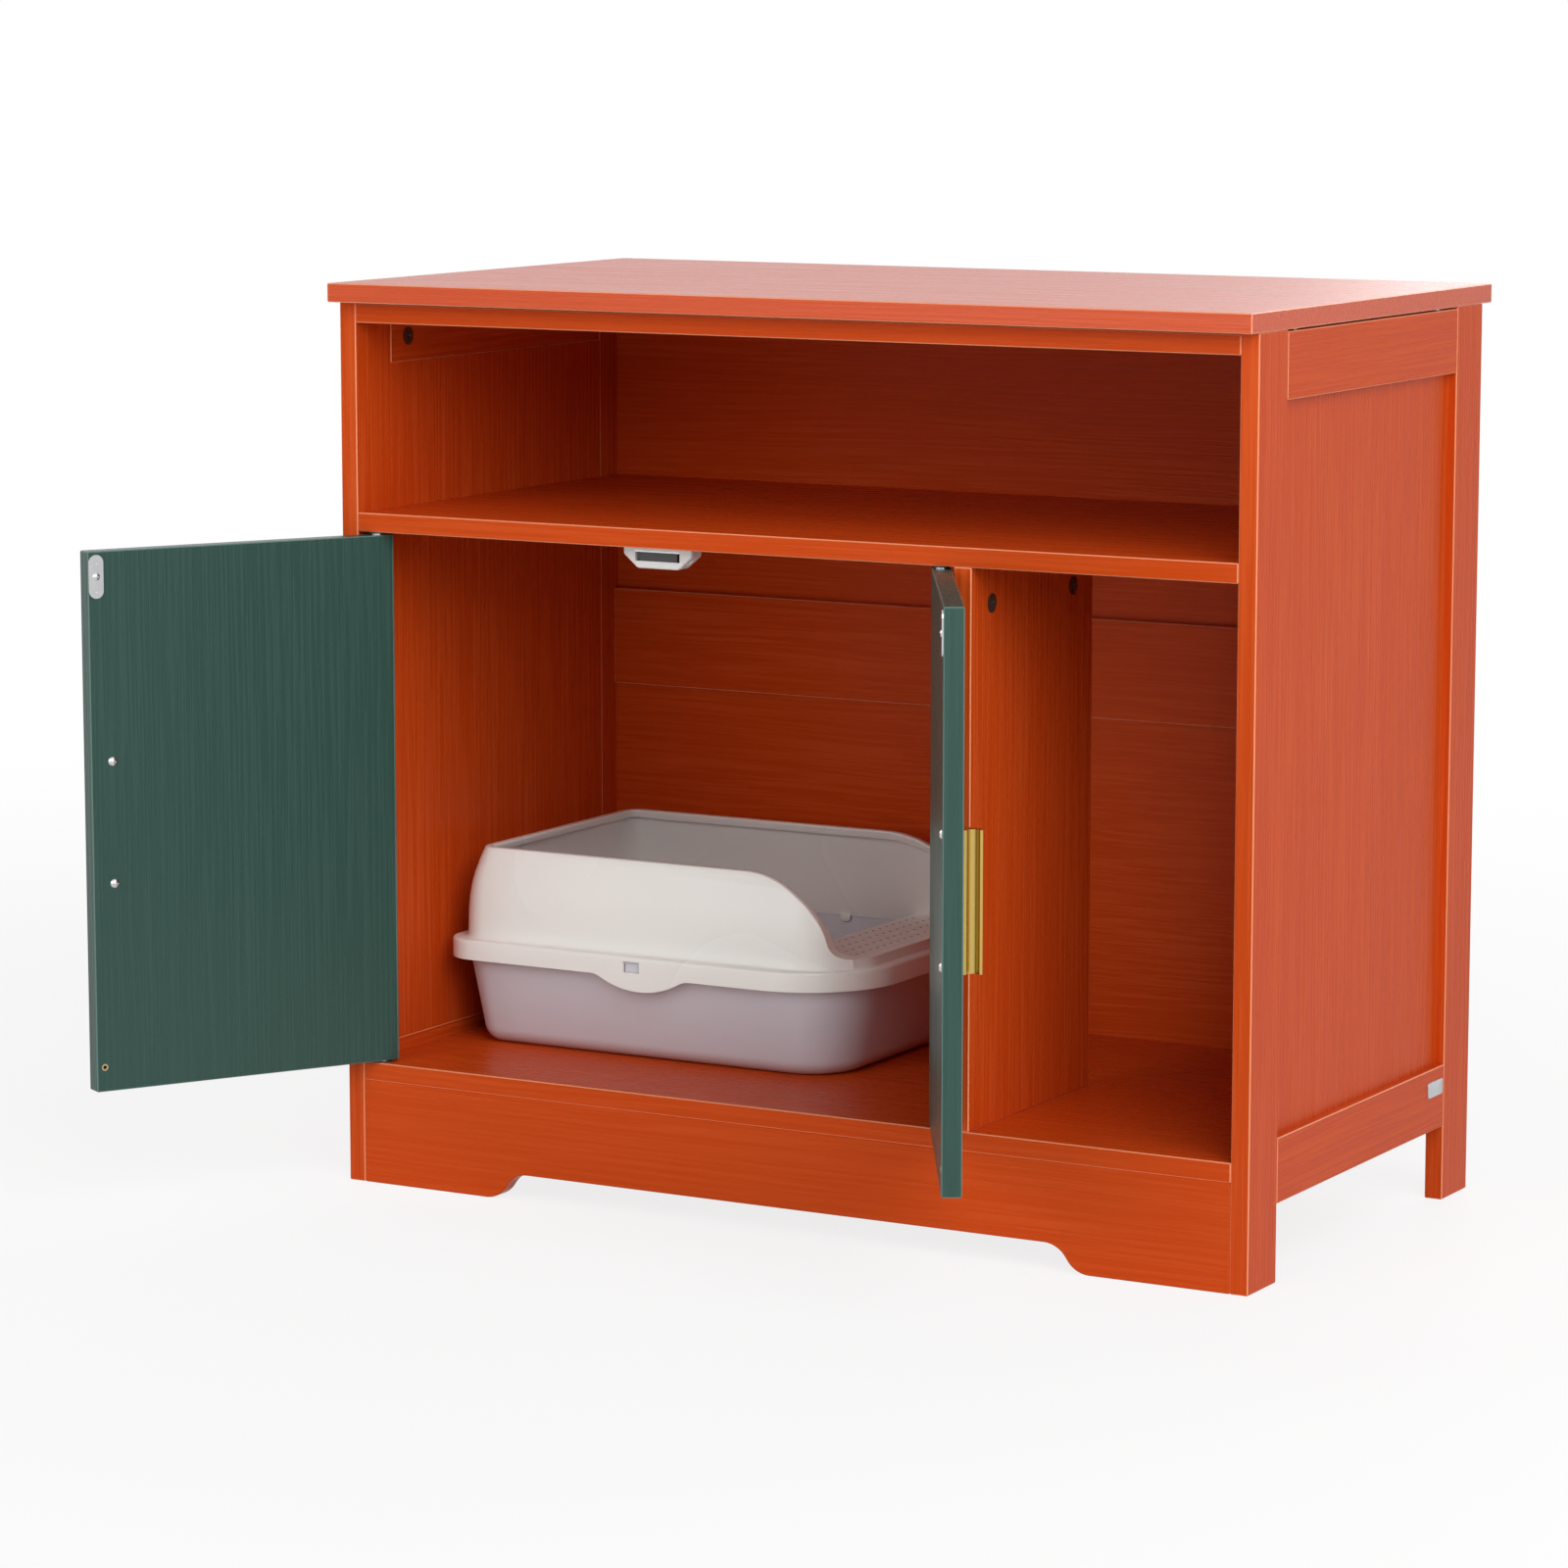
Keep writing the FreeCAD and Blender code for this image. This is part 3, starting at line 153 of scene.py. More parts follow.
# Lights: name, place, size and power. All of them face the middle of the cabinet.
LIGHTS = (
    ("key_light", (3.2, -2.0, 2.6), 3.4, 150.0),
    ("front_light", (-0.3, -3.3, 1.7), 2.6, 38.0),
    ("left_light", (-2.8, -0.6, 1.8), 1.8, 26.0),
    ("rear_light", (0.4, 3.4, 2.2), 2.4, 40.0),
)
LIGHT_TARGET = (0.4, 0.15, 0.35)

# The floor is whitened for the camera: this share near the cabinet, all of it far away.
FLOOR_WHITE_NEAR = 0.82
FLOOR_NEAR = 0.8
FLOOR_FAR = 2.6


# ---------------------------------------------------------------- settings
class PaintSettings(bpy.types.PropertyGroup):
    """Colours and grain of the painted boards."""

    orange: bpy.props.FloatVectorProperty(
        name="Orange paint",
        description="Colour of the cabinet's boards",
        default=(0.56, 0.062, 0.006),
        subtype="COLOR",
    )
    orange_light: bpy.props.FloatVectorProperty(
        name="Orange grain",
        description="Lighter colour on the raised lines of the grain",
        default=(0.72, 0.125, 0.028),
        subtype="COLOR",
    )
    green: bpy.props.FloatVectorProperty(
        name="Green paint",
        description="Colour of the doors",
        default=(0.030, 0.074, 0.060),
        subtype="COLOR",
    )
    green_light: bpy.props.FloatVectorProperty(
        name="Green grain",
        description="Lighter colour on the raised lines of the doors' grain",
        default=(0.050, 0.105, 0.088),
        subtype="COLOR",
    )
    grain_pitch: bpy.props.FloatProperty(
        name="Grain pitch",
        description="Distance between two lines of the embossed grain",
        default=0.0022,
        unit="LENGTH",
    )
    grain_depth: bpy.props.FloatProperty(
        name="Grain depth",
        description="Height of the embossed grain",
        default=0.00010,
        unit="LENGTH",
    )
    # The two edge colours are a painted highlight: the pale line where light catches the
    # chamfered edges of the boards and doors.
    edge: bpy.props.FloatVectorProperty(
        name="Orange edges",
        description="Pale colour along the broken edges of the orange boards",
        default=(0.80, 0.29, 0.15),
        subtype="COLOR",
    )
    green_edge_highlight: bpy.props.FloatVectorProperty(
        name="Green edges",
        description="Pale colour along the broken edges of the doors",
        default=(0.11, 0.19, 0.17),
        subtype="COLOR",
    )


class MetalSettings(bpy.types.PropertyGroup):
    """Colours of the handles and fittings."""

    gold: bpy.props.FloatVectorProperty(
        name="Gold",
        description="Colour of the handles",
        default=(0.58, 0.41, 0.12),
        subtype="COLOR",
    )
    steel: bpy.props.FloatVectorProperty(
        name="Steel",
        description="Colour of screws, plates and pins",
        default=(0.62, 0.62, 0.63),
        subtype="COLOR",
    )
    brass: bpy.props.FloatVectorProperty(
        name="Brass",
        description="Colour of the rings in the doors' spare holes",
        default=(0.60, 0.42, 0.22),
        subtype="COLOR",
    )


class TraySettings(bpy.types.PropertyGroup):
    """Colours of the tray and the grip on its step."""

    hood: bpy.props.FloatVectorProperty(
        name="Hood",
        description="Colour of the hood",
        default=(0.86, 0.84, 0.80),
        subtype="COLOR",
    )
    tub: bpy.props.FloatVectorProperty(
        name="Tub",
        description="Colour of the tub",
        default=(0.62, 0.61, 0.66),
        subtype="COLOR",
    )
    wall_swell: bpy.props.FloatProperty(
        name="Wall swell",
        description="How far the hood's walls swell outwards half way up",
        default=0.0045,
        unit="LENGTH",
    )
    rim_round: bpy.props.FloatProperty(
        name="Rim rounding",
        description="Rounding of the hood's outer rim",
        default=0.0025,
        unit="LENGTH",
    )
    lip_round: bpy.props.FloatProperty(
        name="Lip rounding",
        description="Rounding of the hood's inner rim",
        default=0.001,
        unit="LENGTH",
    )
    bar_length: bpy.props.FloatProperty(
        name="Grip bar length",
        description="Length of a raised bar on the step",
        default=0.0085,
        unit="LENGTH",
    )
    bar_width: bpy.props.FloatProperty(
        name="Grip bar width",
        description="Width of a raised bar on the step",
        default=0.0028,
        unit="LENGTH",
    )
    bar_height: bpy.props.FloatProperty(
        name="Grip bar height",
        description="Height of a raised bar on the step",
        default=0.0011,
        unit="LENGTH",
    )


class BadgeSettings(bpy.types.PropertyGroup):
    """The bare plate on the right bottom rail."""

    size: bpy.props.FloatVectorProperty(
        name="Plate size",
        description="Length along the rail and height of the plate",
        size=2,
        default=(0.029, 0.0125),
        unit="LENGTH",
    )
    thickness: bpy.props.FloatProperty(
        name="Plate thickness",
        description="How far the plate stands off the rail",
        default=0.0012,
        unit="LENGTH",
    )


class StageSettings(bpy.types.PropertyGroup):
    """Camera, floor and lights."""

    camera_place: bpy.props.FloatVectorProperty(
        name="Camera place",
        description="Where the camera stands",
        default=(2.4051, -3.5552, 0.9588),
        subtype="TRANSLATION",
    )
    camera_yaw: bpy.props.FloatProperty(
        name="Camera yaw",
        description="Turn of the camera to the left of straight ahead",
        default=math.radians(29.632),
        subtype="ANGLE",
    )
    camera_dip: bpy.props.FloatProperty(
        name="Camera dip",
        description="How far the camera looks below the horizon",
        default=math.radians(8.475),
        subtype="ANGLE",
    )
    camera_lens: bpy.props.FloatProperty(
        name="Camera lens",
        description="Focal length on a 36 mm wide sensor",
        default=123.41,
        unit="CAMERA",
    )
    air_light: bpy.props.FloatProperty(
        name="Air light",
        description="Strength of the even light from all round",
        default=0.1,
    )
    floor_size: bpy.props.FloatProperty(
        name="Floor size",
        description="Length of each side of the floor",
        default=60.0,
        unit="LENGTH",
    )


def paint():
    return bpy.context.scene.cabinet_paint


def metal():
    return bpy.context.scene.cabinet_metal


def tray():
    return bpy.context.scene.cabinet_tray


def badge():
    return bpy.context.scene.cabinet_badge


def stage():
    return bpy.context.scene.cabinet_stage


# ---------------------------------------------------------------- node helpers
# A colour Mix node's sockets: its factor, its two colours, and its result.
SHARE, FIRST, SECOND, MIXED = 0, 6, 7, 2


def add_node(tree, kind, settings=None, **inputs):
    """A shader node with its settings and the values of its inputs."""
    node = tree.nodes.new(kind)
    for key, value in (settings or {}).items():
        setattr(node, key, value)
    for key, value in inputs.items():
        node.inputs[key.replace("_", " ")].default_value = value
    return node


def link(tree, source, output, target, entry):
    tree.links.new(source.outputs[output], target.inputs[entry])


def new_group(name, entries, results):
    """An empty shader node group with its sockets. Entries are (name, kind, default)."""
    group = bpy.data.node_groups.new(name, "ShaderNodeTree")
    for label, kind, default in entries:
        socket = group.interface.new_socket(label, in_out="INPUT", socket_type=kind)
        if default is not None:
            socket.default_value = default
    for label, kind in results:
        group.interface.new_socket(label, in_out="OUTPUT", socket_type=kind)
    return group, group.nodes.new("NodeGroupInput"), group.nodes.new("NodeGroupOutput")


def embossed_grain():
    """The grain of printed and embossed foil: long fine lines that wander a little."""
    group, given, result = new_group(
        "embossed_grain",
        [
            ("Vector", "NodeSocketVector", None),
            ("Paint", "NodeSocketColor", (0.5, 0.5, 0.5, 1)),
            ("Line", "NodeSocketColor", (0.6, 0.6, 0.6, 1)),
            ("Pitch", "NodeSocketFloat", 0.002),
            ("Wander", "NodeSocketFloat", 0.004),
            ("Contrast", "NodeSocketFloat", 0.5),
        ],
        [
            ("Color", "NodeSocketColor"),
            ("Roughness", "NodeSocketFloat"),
            ("Height", "NodeSocketFloat"),
        ],
    )
    drift = add_node(group, "ShaderNodeTexNoise", Scale=9.0, Detail=1.0)
    squeeze = add_node(group, "ShaderNodeVectorMath", {"operation": "MULTIPLY"})
    squeeze.inputs[1].default_value = (1.0, 1.0, 0.35)
    link(group, given, "Vector", squeeze, 0)
    link(group, squeeze, "Vector", drift, "Vector")
    centred = add_node(group, "ShaderNodeVectorMath", {"operation": "SUBTRACT"})
    centred.inputs[1].default_value = (0.5, 0.5, 0.5)
    link(group, drift, "Color", centred, 0)
    strayed = add_node(group, "ShaderNodeVectorMath", {"operation": "SCALE"})
    link(group, centred, "Vector", strayed, 0)
    link(group, given, "Wander", strayed, "Scale")
    moved = add_node(group, "ShaderNodeVectorMath", {"operation": "ADD"})
    link(group, given, "Vector", moved, 0)
    link(group, strayed, "Vector", moved, 1)
    per_line = add_node(group, "ShaderNodeMath", {"operation": "DIVIDE"})
    per_line.inputs[0].default_value = 1.0
    link(group, given, "Pitch", per_line, 1)
    scaled = add_node(group, "ShaderNodeVectorMath", {"operation": "SCALE"})
    link(group, moved, "Vector", scaled, 0)
    link(group, per_line, "Value", scaled, "Scale")
    stretched = add_node(group, "ShaderNodeVectorMath", {"operation": "MULTIPLY"})
    stretched.inputs[1].default_value = (0.85, 0.85, 0.014)
    link(group, scaled, "Vector", stretched, 0)
    lines = add_node(group, "ShaderNodeTexNoise", Scale=1.0, Detail=3.0, Roughness=0.55)
    link(group, stretched, "Vector", lines, "Vector")
    sharp = add_node(
        group,
        "ShaderNodeMapRange",
        {"interpolation_type": "SMOOTHSTEP"},
        From_Min=0.42,
        From_Max=0.64,
    )
    link(group, lines, "Fac", sharp, "Value")
    broad = add_node(group, "ShaderNodeVectorMath", {"operation": "MULTIPLY"})
    broad.inputs[1].default_value = (22.0, 22.0, 3.0)
    link(group, given, "Vector", broad, 0)
    tone = add_node(group, "ShaderNodeTexNoise", Scale=1.0, Detail=2.0)
    link(group, broad, "Vector", tone, "Vector")
    weigh = add_node(group, "ShaderNodeMath", {"operation": "MULTIPLY"})
    link(group, sharp, "Result", weigh, 0)
    link(group, given, "Contrast", weigh, 1)
    patchy = add_node(group, "ShaderNodeMath", {"operation": "MULTIPLY"})
    link(group, weigh, "Value", patchy, 0)
    link(group, tone, "Fac", patchy, 1)
    colour = add_node(group, "ShaderNodeMix", {"data_type": "RGBA"})
    link(group, patchy, "Value", colour, SHARE)
    link(group, given, "Paint", colour, FIRST)
    link(group, given, "Line", colour, SECOND)
    rough = add_node(group, "ShaderNodeMapRange", To_Min=0.27, To_Max=0.36)
    link(group, sharp, "Result", rough, "Value")
    link(group, colour, MIXED, result, "Color")
    link(group, rough, "Result", result, "Roughness")
    link(group, sharp, "Result", result, "Height")
    return group


def edge_highlight_mask():
    """A mask that is 1 on faces that lean between a board's three directions: the chamfered edges
    that get the painted highlight.
    """
    group, given, result = new_group(
        "edge_highlight_mask",
        [("Normal", "NodeSocketVector", None), ("Turn", "NodeSocketFloat", 0.0)],
        [("Mask", "NodeSocketFloat")],
    )
    squared = add_node(group, "ShaderNodeVectorRotate", {"rotation_type": "Z_AXIS"})
    link(group, given, "Normal", squared, "Vector")
    link(group, given, "Turn", squared, "Angle")
    size = add_node(group, "ShaderNodeVectorMath", {"operation": "ABSOLUTE"})
    link(group, squared, "Vector", size, 0)
    parts = add_node(group, "ShaderNodeSeparateXYZ")
    link(group, size, "Vector", parts, 0)
    wide = add_node(group, "ShaderNodeMath", {"operation": "MAXIMUM"})
    link(group, parts, "X", wide, 0)
    link(group, parts, "Y", wide, 1)
    largest = add_node(group, "ShaderNodeMath", {"operation": "MAXIMUM"})
    link(group, wide, "Value", largest, 0)
    link(group, parts, "Z", largest, 1)
    mask = add_node(group, "ShaderNodeMath", {"operation": "LESS_THAN"})
    mask.inputs[1].default_value = 0.93
    link(group, largest, "Value", mask, 0)
    link(group, mask, "Value", result, "Mask")
    return group


def moulded_skin():
    """The faint unevenness of a moulded or rolled surface."""
    group, given, result = new_group(
        "moulded_skin",
        [
            ("Vector", "NodeSocketVector", None),
            ("Base", "NodeSocketColor", (0.5, 0.5, 0.5, 1)),
            ("Shade", "NodeSocketColor", (0.4, 0.4, 0.4, 1)),
            ("Scale", "NodeSocketFloat", 40.0),
            ("Detail", "NodeSocketFloat", 4.0),
            ("Rough low", "NodeSocketFloat", 0.3),
            ("Rough high", "NodeSocketFloat", 0.4),
        ],
        [
            ("Color", "NodeSocketColor"),
            ("Roughness", "NodeSocketFloat"),
            ("Height", "NodeSocketFloat"),
        ],
    )
    noise = add_node(group, "ShaderNodeTexNoise")
    link(group, given, "Vector", noise, "Vector")
    link(group, given, "Scale", noise, "Scale")
    link(group, given, "Detail", noise, "Detail")
    colour = add_node(group, "ShaderNodeMix", {"data_type": "RGBA"})
    link(group, noise, "Fac", colour, SHARE)
    link(group, given, "Base", colour, FIRST)
    link(group, given, "Shade", colour, SECOND)
    rough = add_node(group, "ShaderNodeMapRange")
    link(group, noise, "Fac", rough, "Value")
    link(group, given, "Rough low", rough, "To Min")
    link(group, given, "Rough high", rough, "To Max")
    link(group, colour, MIXED, result, "Color")
    link(group, rough, "Result", result, "Roughness")
    link(group, noise, "Fac", result, "Height")
    return group


def group_named(name):
    """The shared effect of that name, built at its first use."""
    makers = {
        "embossed_grain": embossed_grain,
        "edge_highlight_mask": edge_highlight_mask,
        "moulded_skin": moulded_skin,
    }
    return bpy.data.node_groups.get(name) or makers[name]()


def start_material(name):
    """A material with its shader, object coordinates and a mapping node."""
    material = bpy.data.materials.new(name)
    material.use_nodes = True
    tree = material.node_tree
    shader = tree.nodes["Principled BSDF"]
    where = add_node(tree, "ShaderNodeTexCoord")
    turned = add_node(tree, "ShaderNodeMapping")
    link(tree, where, "Object", turned, "Vector")
    return material, tree, shader, turned


def wire_effect(tree, effect, shader, depth):
    """Lead a shared effect's colour, roughness and, at any depth, height into the shader."""
    link(tree, effect, "Color", shader, "Base Color")
    link(tree, effect, "Roughness", shader, "Roughness")
    if not depth:
        return
    bump = add_node(tree, "ShaderNodeBump", Strength=1.0, Distance=depth)
    link(tree, effect, "Height", bump, "Height")
    link(tree, bump, "Normal", shader, "Normal")


GRAIN_TURNS = {
    "upright": (0, 0, 0),
    "level": (0, -math.pi / 2, 0),
    "deep": (math.pi / 2, 0, 0),
}


def painted(name, colours, run, wander, contrast, gloss=0.07, turn=0.0, edge_highlights=True):
    """A board's paint with its grain running one way, and a painted highlight, a paler colour,
    along its chamfered edges.
    """
    # edge is the colour of the painted highlight along the chamfered edges.
    base, line, edge = colours
    material, tree, shader, turned = start_material(name)
    turned.inputs["Rotation"].default_value = GRAIN_TURNS[run]
    effect = add_node(tree, "ShaderNodeGroup", {"node_tree": group_named("embossed_grain")})
    link(tree, turned, "Vector", effect, "Vector")
    effect.inputs["Paint"].default_value = (*base, 1)
    effect.inputs["Line"].default_value = (*line, 1)
    effect.inputs["Pitch"].default_value = paint().grain_pitch
    effect.inputs["Wander"].default_value = wander
    effect.inputs["Contrast"].default_value = contrast
    wire_effect(tree, effect, shader, paint().grain_depth)
    # Painted highlight: the edge colour is laid over the chamfered edges, where light would catch
    # them.
    if edge_highlights:
        highlight_mask_node = add_node(tree, "ShaderNodeGroup", {"node_tree": group_named("edge_highlight_mask")})
        highlight_mask_node.inputs["Turn"].default_value = turn
        where = add_node(tree, "ShaderNodeTexCoord")
        link(tree, where, "Normal", highlight_mask_node, "Normal")
        edge_highlight_mix = add_node(tree, "ShaderNodeMix", {"data_type": "RGBA"})
        edge_highlight_mix.inputs[SECOND].default_value = (*edge, 1)
        link(tree, highlight_mask_node, "Mask", edge_highlight_mix, SHARE)
        link(tree, effect, "Color", edge_highlight_mix, FIRST)
        link(tree, edge_highlight_mix, MIXED, shader, "Base Color")
    shader.inputs["Specular IOR Level"].default_value = gloss
    return material


def shows_white(tree):
    """A node that is 1 for camera, mirrored and transmitted rays, and else 0."""
    path = add_node(tree, "ShaderNodeLightPath")
    seen = add_node(tree, "ShaderNodeMath", {"operation": "MAXIMUM"})
    link(tree, path, "Is Camera Ray", seen, 0)
    link(tree, path, "Is Glossy Ray", seen, 1)
    through = add_node(tree, "ShaderNodeMath", {"operation": "MAXIMUM"})
    link(tree, seen, "Value", through, 0)
    link(tree, path, "Is Transmission Ray", through, 1)
    return through


def skinned(name, colour, shade, rough, metallic=0.0, scale=40.0, detail=4.0, depth=0.00002):
    """Metal or plastic with a faint unevenness."""
    material, tree, shader, turned = start_material(name)
    effect = add_node(tree, "ShaderNodeGroup", {"node_tree": group_named("moulded_skin")})
    link(tree, turned, "Vector", effect, "Vector")
    effect.inputs["Base"].default_value = (*colour, 1)
    effect.inputs["Shade"].default_value = (*shade, 1)
    effect.inputs["Scale"].default_value = scale
    effect.inputs["Detail"].default_value = detail
    effect.inputs["Rough low"].default_value = rough[0]
    effect.inputs["Rough high"].default_value = rough[1]
    wire_effect(tree, effect, shader, depth)
    shader.inputs["Metallic"].default_value = metallic
    return material


def moulded(name, colour, share, rough):
    """Smooth plastic whose colour and gloss drift slowly over the piece."""
    return skinned(name, colour, scaled_colour(colour, share), rough, 0.0, 7.0, 0.0, 0.0)


def scaled_colour(colour, share):
    return tuple(channel * share for channel in colour)


def dress(names, material):
    """Give CAD nodes a material."""
    for name in names:
        mesh = frame["nodes"][name].data
        mesh.materials.clear()
        mesh.materials.append(material)


# ---------------------------------------------------------------- modelling helpers
def only(piece):
    """Select one object alone and make it active."""
    if bpy.context.object and bpy.context.object.mode != "OBJECT":
        bpy.ops.object.mode_set(mode="OBJECT")
    bpy.ops.object.select_all(action="DESELECT")
    piece.select_set(True)
    bpy.context.view_layer.objects.active = piece


def named(name, material):
    """Name the new primitive and give it its material."""
    piece = bpy.context.object
    piece.name = name
    piece.data.name = name
    piece.data.materials.clear()
    piece.data.materials.append(material)
    return piece


def settle(piece):
    """Move an object's place into its mesh."""
    only(piece)
    bpy.ops.object.transform_apply(location=True, rotation=True, scale=True)


def edit(piece):
    only(piece)
    bpy.ops.object.mode_set(mode="EDIT")
    bpy.ops.mesh.select_mode(type="FACE")
    bpy.ops.mesh.select_all(action="DESELECT")


def leave_edit():
    bpy.ops.object.mode_set(mode="OBJECT")


def pick_faces(piece, wanted):
    """Select the faces that a test wants, from edit mode, and go back to it."""
    bpy.ops.object.mode_set(mode="OBJECT")
    for face in piece.data.polygons:
        face.select = wanted(face)
    bpy.ops.object.mode_set(mode="EDIT")


def pick_edges(piece, wanted):
    """Select the edges that a test wants, from edit mode, and go back to it."""
    bpy.ops.mesh.select_mode(type="EDGE")
    bpy.ops.mesh.select_all(action="DESELECT")
    bpy.ops.object.mode_set(mode="OBJECT")
    points = piece.data.vertices
    for line in piece.data.edges:
        line.select = wanted(*(points[end].co for end in line.vertices))
    bpy.ops.object.mode_set(mode="EDIT")


def edge_angles(piece):
    """For each edge with two faces: its middle and the signed angle between them."""
    mesh = piece.data
    sides = {}
    for face in mesh.polygons:
        for key in face.edge_keys:
            sides.setdefault(key, []).append(face)
    found = []
    for line in mesh.edges:
        pair = sides.get(tuple(sorted(line.vertices)), [])
        if len(pair) != 2:
            continue
        first, second = pair
        middle = sum((mesh.vertices[end].co for end in line.vertices), Vector()) / 2
        angle = math.degrees(first.normal.angle(second.normal))
        if (second.center - first.center).dot(first.normal) > 0:
            angle = -angle
        found.append((line, middle, angle))
    return found


def pick_sharp(piece, wanted):
    """Select the edges that a test on their middle and signed angle wants, from edit mode."""
    bpy.ops.mesh.select_mode(type="EDGE")
    bpy.ops.mesh.select_all(action="DESELECT")
    bpy.ops.object.mode_set(mode="OBJECT")
    for line, middle, angle in edge_angles(piece):
        line.select = wanted(middle, angle)
    bpy.ops.object.mode_set(mode="EDIT")


def pick_points(piece, wanted):
    """Select the points that a test wants, from edit mode, and go back to it."""
    bpy.ops.mesh.select_mode(type="VERT")
    bpy.ops.mesh.select_all(action="DESELECT")
    bpy.ops.object.mode_set(mode="OBJECT")
    for point in piece.data.vertices:
        point.select = wanted(point.co)
    bpy.ops.object.mode_set(mode="EDIT")


def carrier(node):
    """The name of the body that a node moves with."""
    bodies = frame["record"]["behaviour"]["bodies"]
    return next(name for name, members in bodies.items() if node in members)


def merged_copy(node, name, material):
    """A copy of a solid's skin with its seams merged and its flat faces whole."""
    piece = bpy.data.objects.new(name, frame["nodes"][node].data.copy())
    bpy.context.scene.collection.objects.link(piece)
    piece.data.name = name
    piece.data.materials.clear()
    piece.data.materials.append(material)
    edit(piece)
    bpy.ops.mesh.select_all(action="SELECT")
    bpy.ops.mesh.remove_doubles(threshold=0.00001)
    bpy.ops.mesh.customdata_custom_splitnormals_clear()
    bpy.ops.mesh.dissolve_limited(angle_limit=math.radians(0.3))
    leave_edit()
    return piece


def stand_in(piece, node):
    """Let a finished piece smooth its curves and take the place of its solid."""
    only(piece)
    bpy.ops.object.shade_smooth_by_angle(angle=SMOOTH)
    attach(piece, carrier(node))
    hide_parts(node)


# ---------------------------------------------------------------- operators
class CABINET_OT_paint_boards(bpy.types.Operator):
    """Paint the boards orange and the doors green, each with its grain along its length"""

    bl_idname = "cabinet.paint_boards"
    bl_label = "Paint the boards"

    def execute(self, context):
        # The third colour of each set is the painted edge highlight.
        orange = (paint().orange, paint().orange_light, paint().edge)
        for run, boards, wander, contrast in (
            ("upright", UPRIGHT_BOARDS, 0.004, 0.7),
            ("level", LEVEL_BOARDS, 0.005, 0.35),
            ("deep", DEEP_BOARDS, 0.008, 0.6),
        ):
            dress(boards, painted(f"orange_{run}_grain", orange, run, wander, contrast))
        dress(BACK_BOARDS, painted("orange_back_grain", orange, "level", 0.016, 0.5))
        arched = painted("orange_apron_grain", orange, "level", 0.005, 0.35, edge_highlights=False)
        dress(["front_apron"], arched)
        lacquered = painted("orange_top_grain", orange, "level", 0.005, 0.3, gloss=0.42)
        dress(["top_panel"], lacquered)
        green = (paint().green, paint().green_light, paint().green_edge_highlight)
        for side, turn in (("left", DOORS_OPEN), ("right", -DOORS_OPEN)):
            coat = painted(f"green_{side}_grain", green, "upright", 0.004, 0.45, 0.2, turn)
            dress([f"{side}_door"], coat)
        return {"FINISHED"}


class CABINET_OT_finish_fittings(bpy.types.Operator):
    """Give the screws, pins, cams, plates, bushings and dowels their finishes"""

    bl_idname = "cabinet.finish_fittings"
    bl_label = "Finish the fittings"

    def execute(self, context):
        steel = metal().steel
        dim_steel = scaled_colour(steel, 0.85)
        zinc, dim_zinc = (0.30, 0.27, 0.22), (0.16, 0.14, 0.11)
        for parts, name, colour, shade, *finish in (
            (STEEL_PARTS, "bright_steel", steel, dim_steel, (0.18, 0.32), 1.0, 90.0),
            (CAM_NUTS, "dull_cam_metal", zinc, dim_zinc, (0.4, 0.6), 1.0, 300.0),
            (BUSHINGS, "black_nylon", (0.02, 0.02, 0.02), (0.03, 0.03, 0.03), (0.5, 0.6)),
            (DOWELS, "bare_beech", (0.62, 0.43, 0.25), (0.48, 0.31, 0.17), (0.6, 0.75)),
            (["catch_magnet"], "dark_magnet", (0.05, 0.05, 0.05), (0.08, 0.08, 0.08), (0.5, 0.7)),
        ):
            dress(parts, skinned(name, colour, shade, *finish))
        return {"FINISHED"}


class CABINET_OT_make_catch(bpy.types.Operator):
    """Make the white housing of the magnetic catch, shaded smooth"""

    bl_idname = "cabinet.make_catch"
    bl_label = "Make the catch"

    def execute(self, context):
        white = skinned(
            "white_catch_plastic", (0.80, 0.80, 0.78), (0.76, 0.76, 0.74), (0.32, 0.42)
        )
        cover = merged_copy("catch_housing", "catch_cover", white)
        stand_in(cover, "catch_housing")
        return {"FINISHED"}


class CABINET_OT_make_handles(bpy.types.Operator):
    """Make the two gold handles"""

    bl_idname = "cabinet.make_handles"
    bl_label = "Make the handles"

    def execute(self, context):
        colour = metal().gold
        gold = skinned("satin_gold", colour, scaled_colour(colour, 0.9), (0.24, 0.34), 1.0, 120.0)
        for side in SIDES:
            pull = merged_copy(f"{side}_handle", f"{side}_pull", gold)
            stand_in(pull, f"{side}_handle")
        return {"FINISHED"}


class CABINET_OT_make_tub(bpy.types.Operator):
    """Make the grey tub of the litter tray"""

    bl_idname = "cabinet.make_tub"
    bl_label = "Make the tub"

    def execute(self, context):
        grey = moulded("grey_tub_plastic", tray().tub, 0.96, (0.36, 0.44))
        tub = merged_copy("tray_tub", "litter_tub", grey)
        stand_in(tub, "tray_tub")
        return {"FINISHED"}


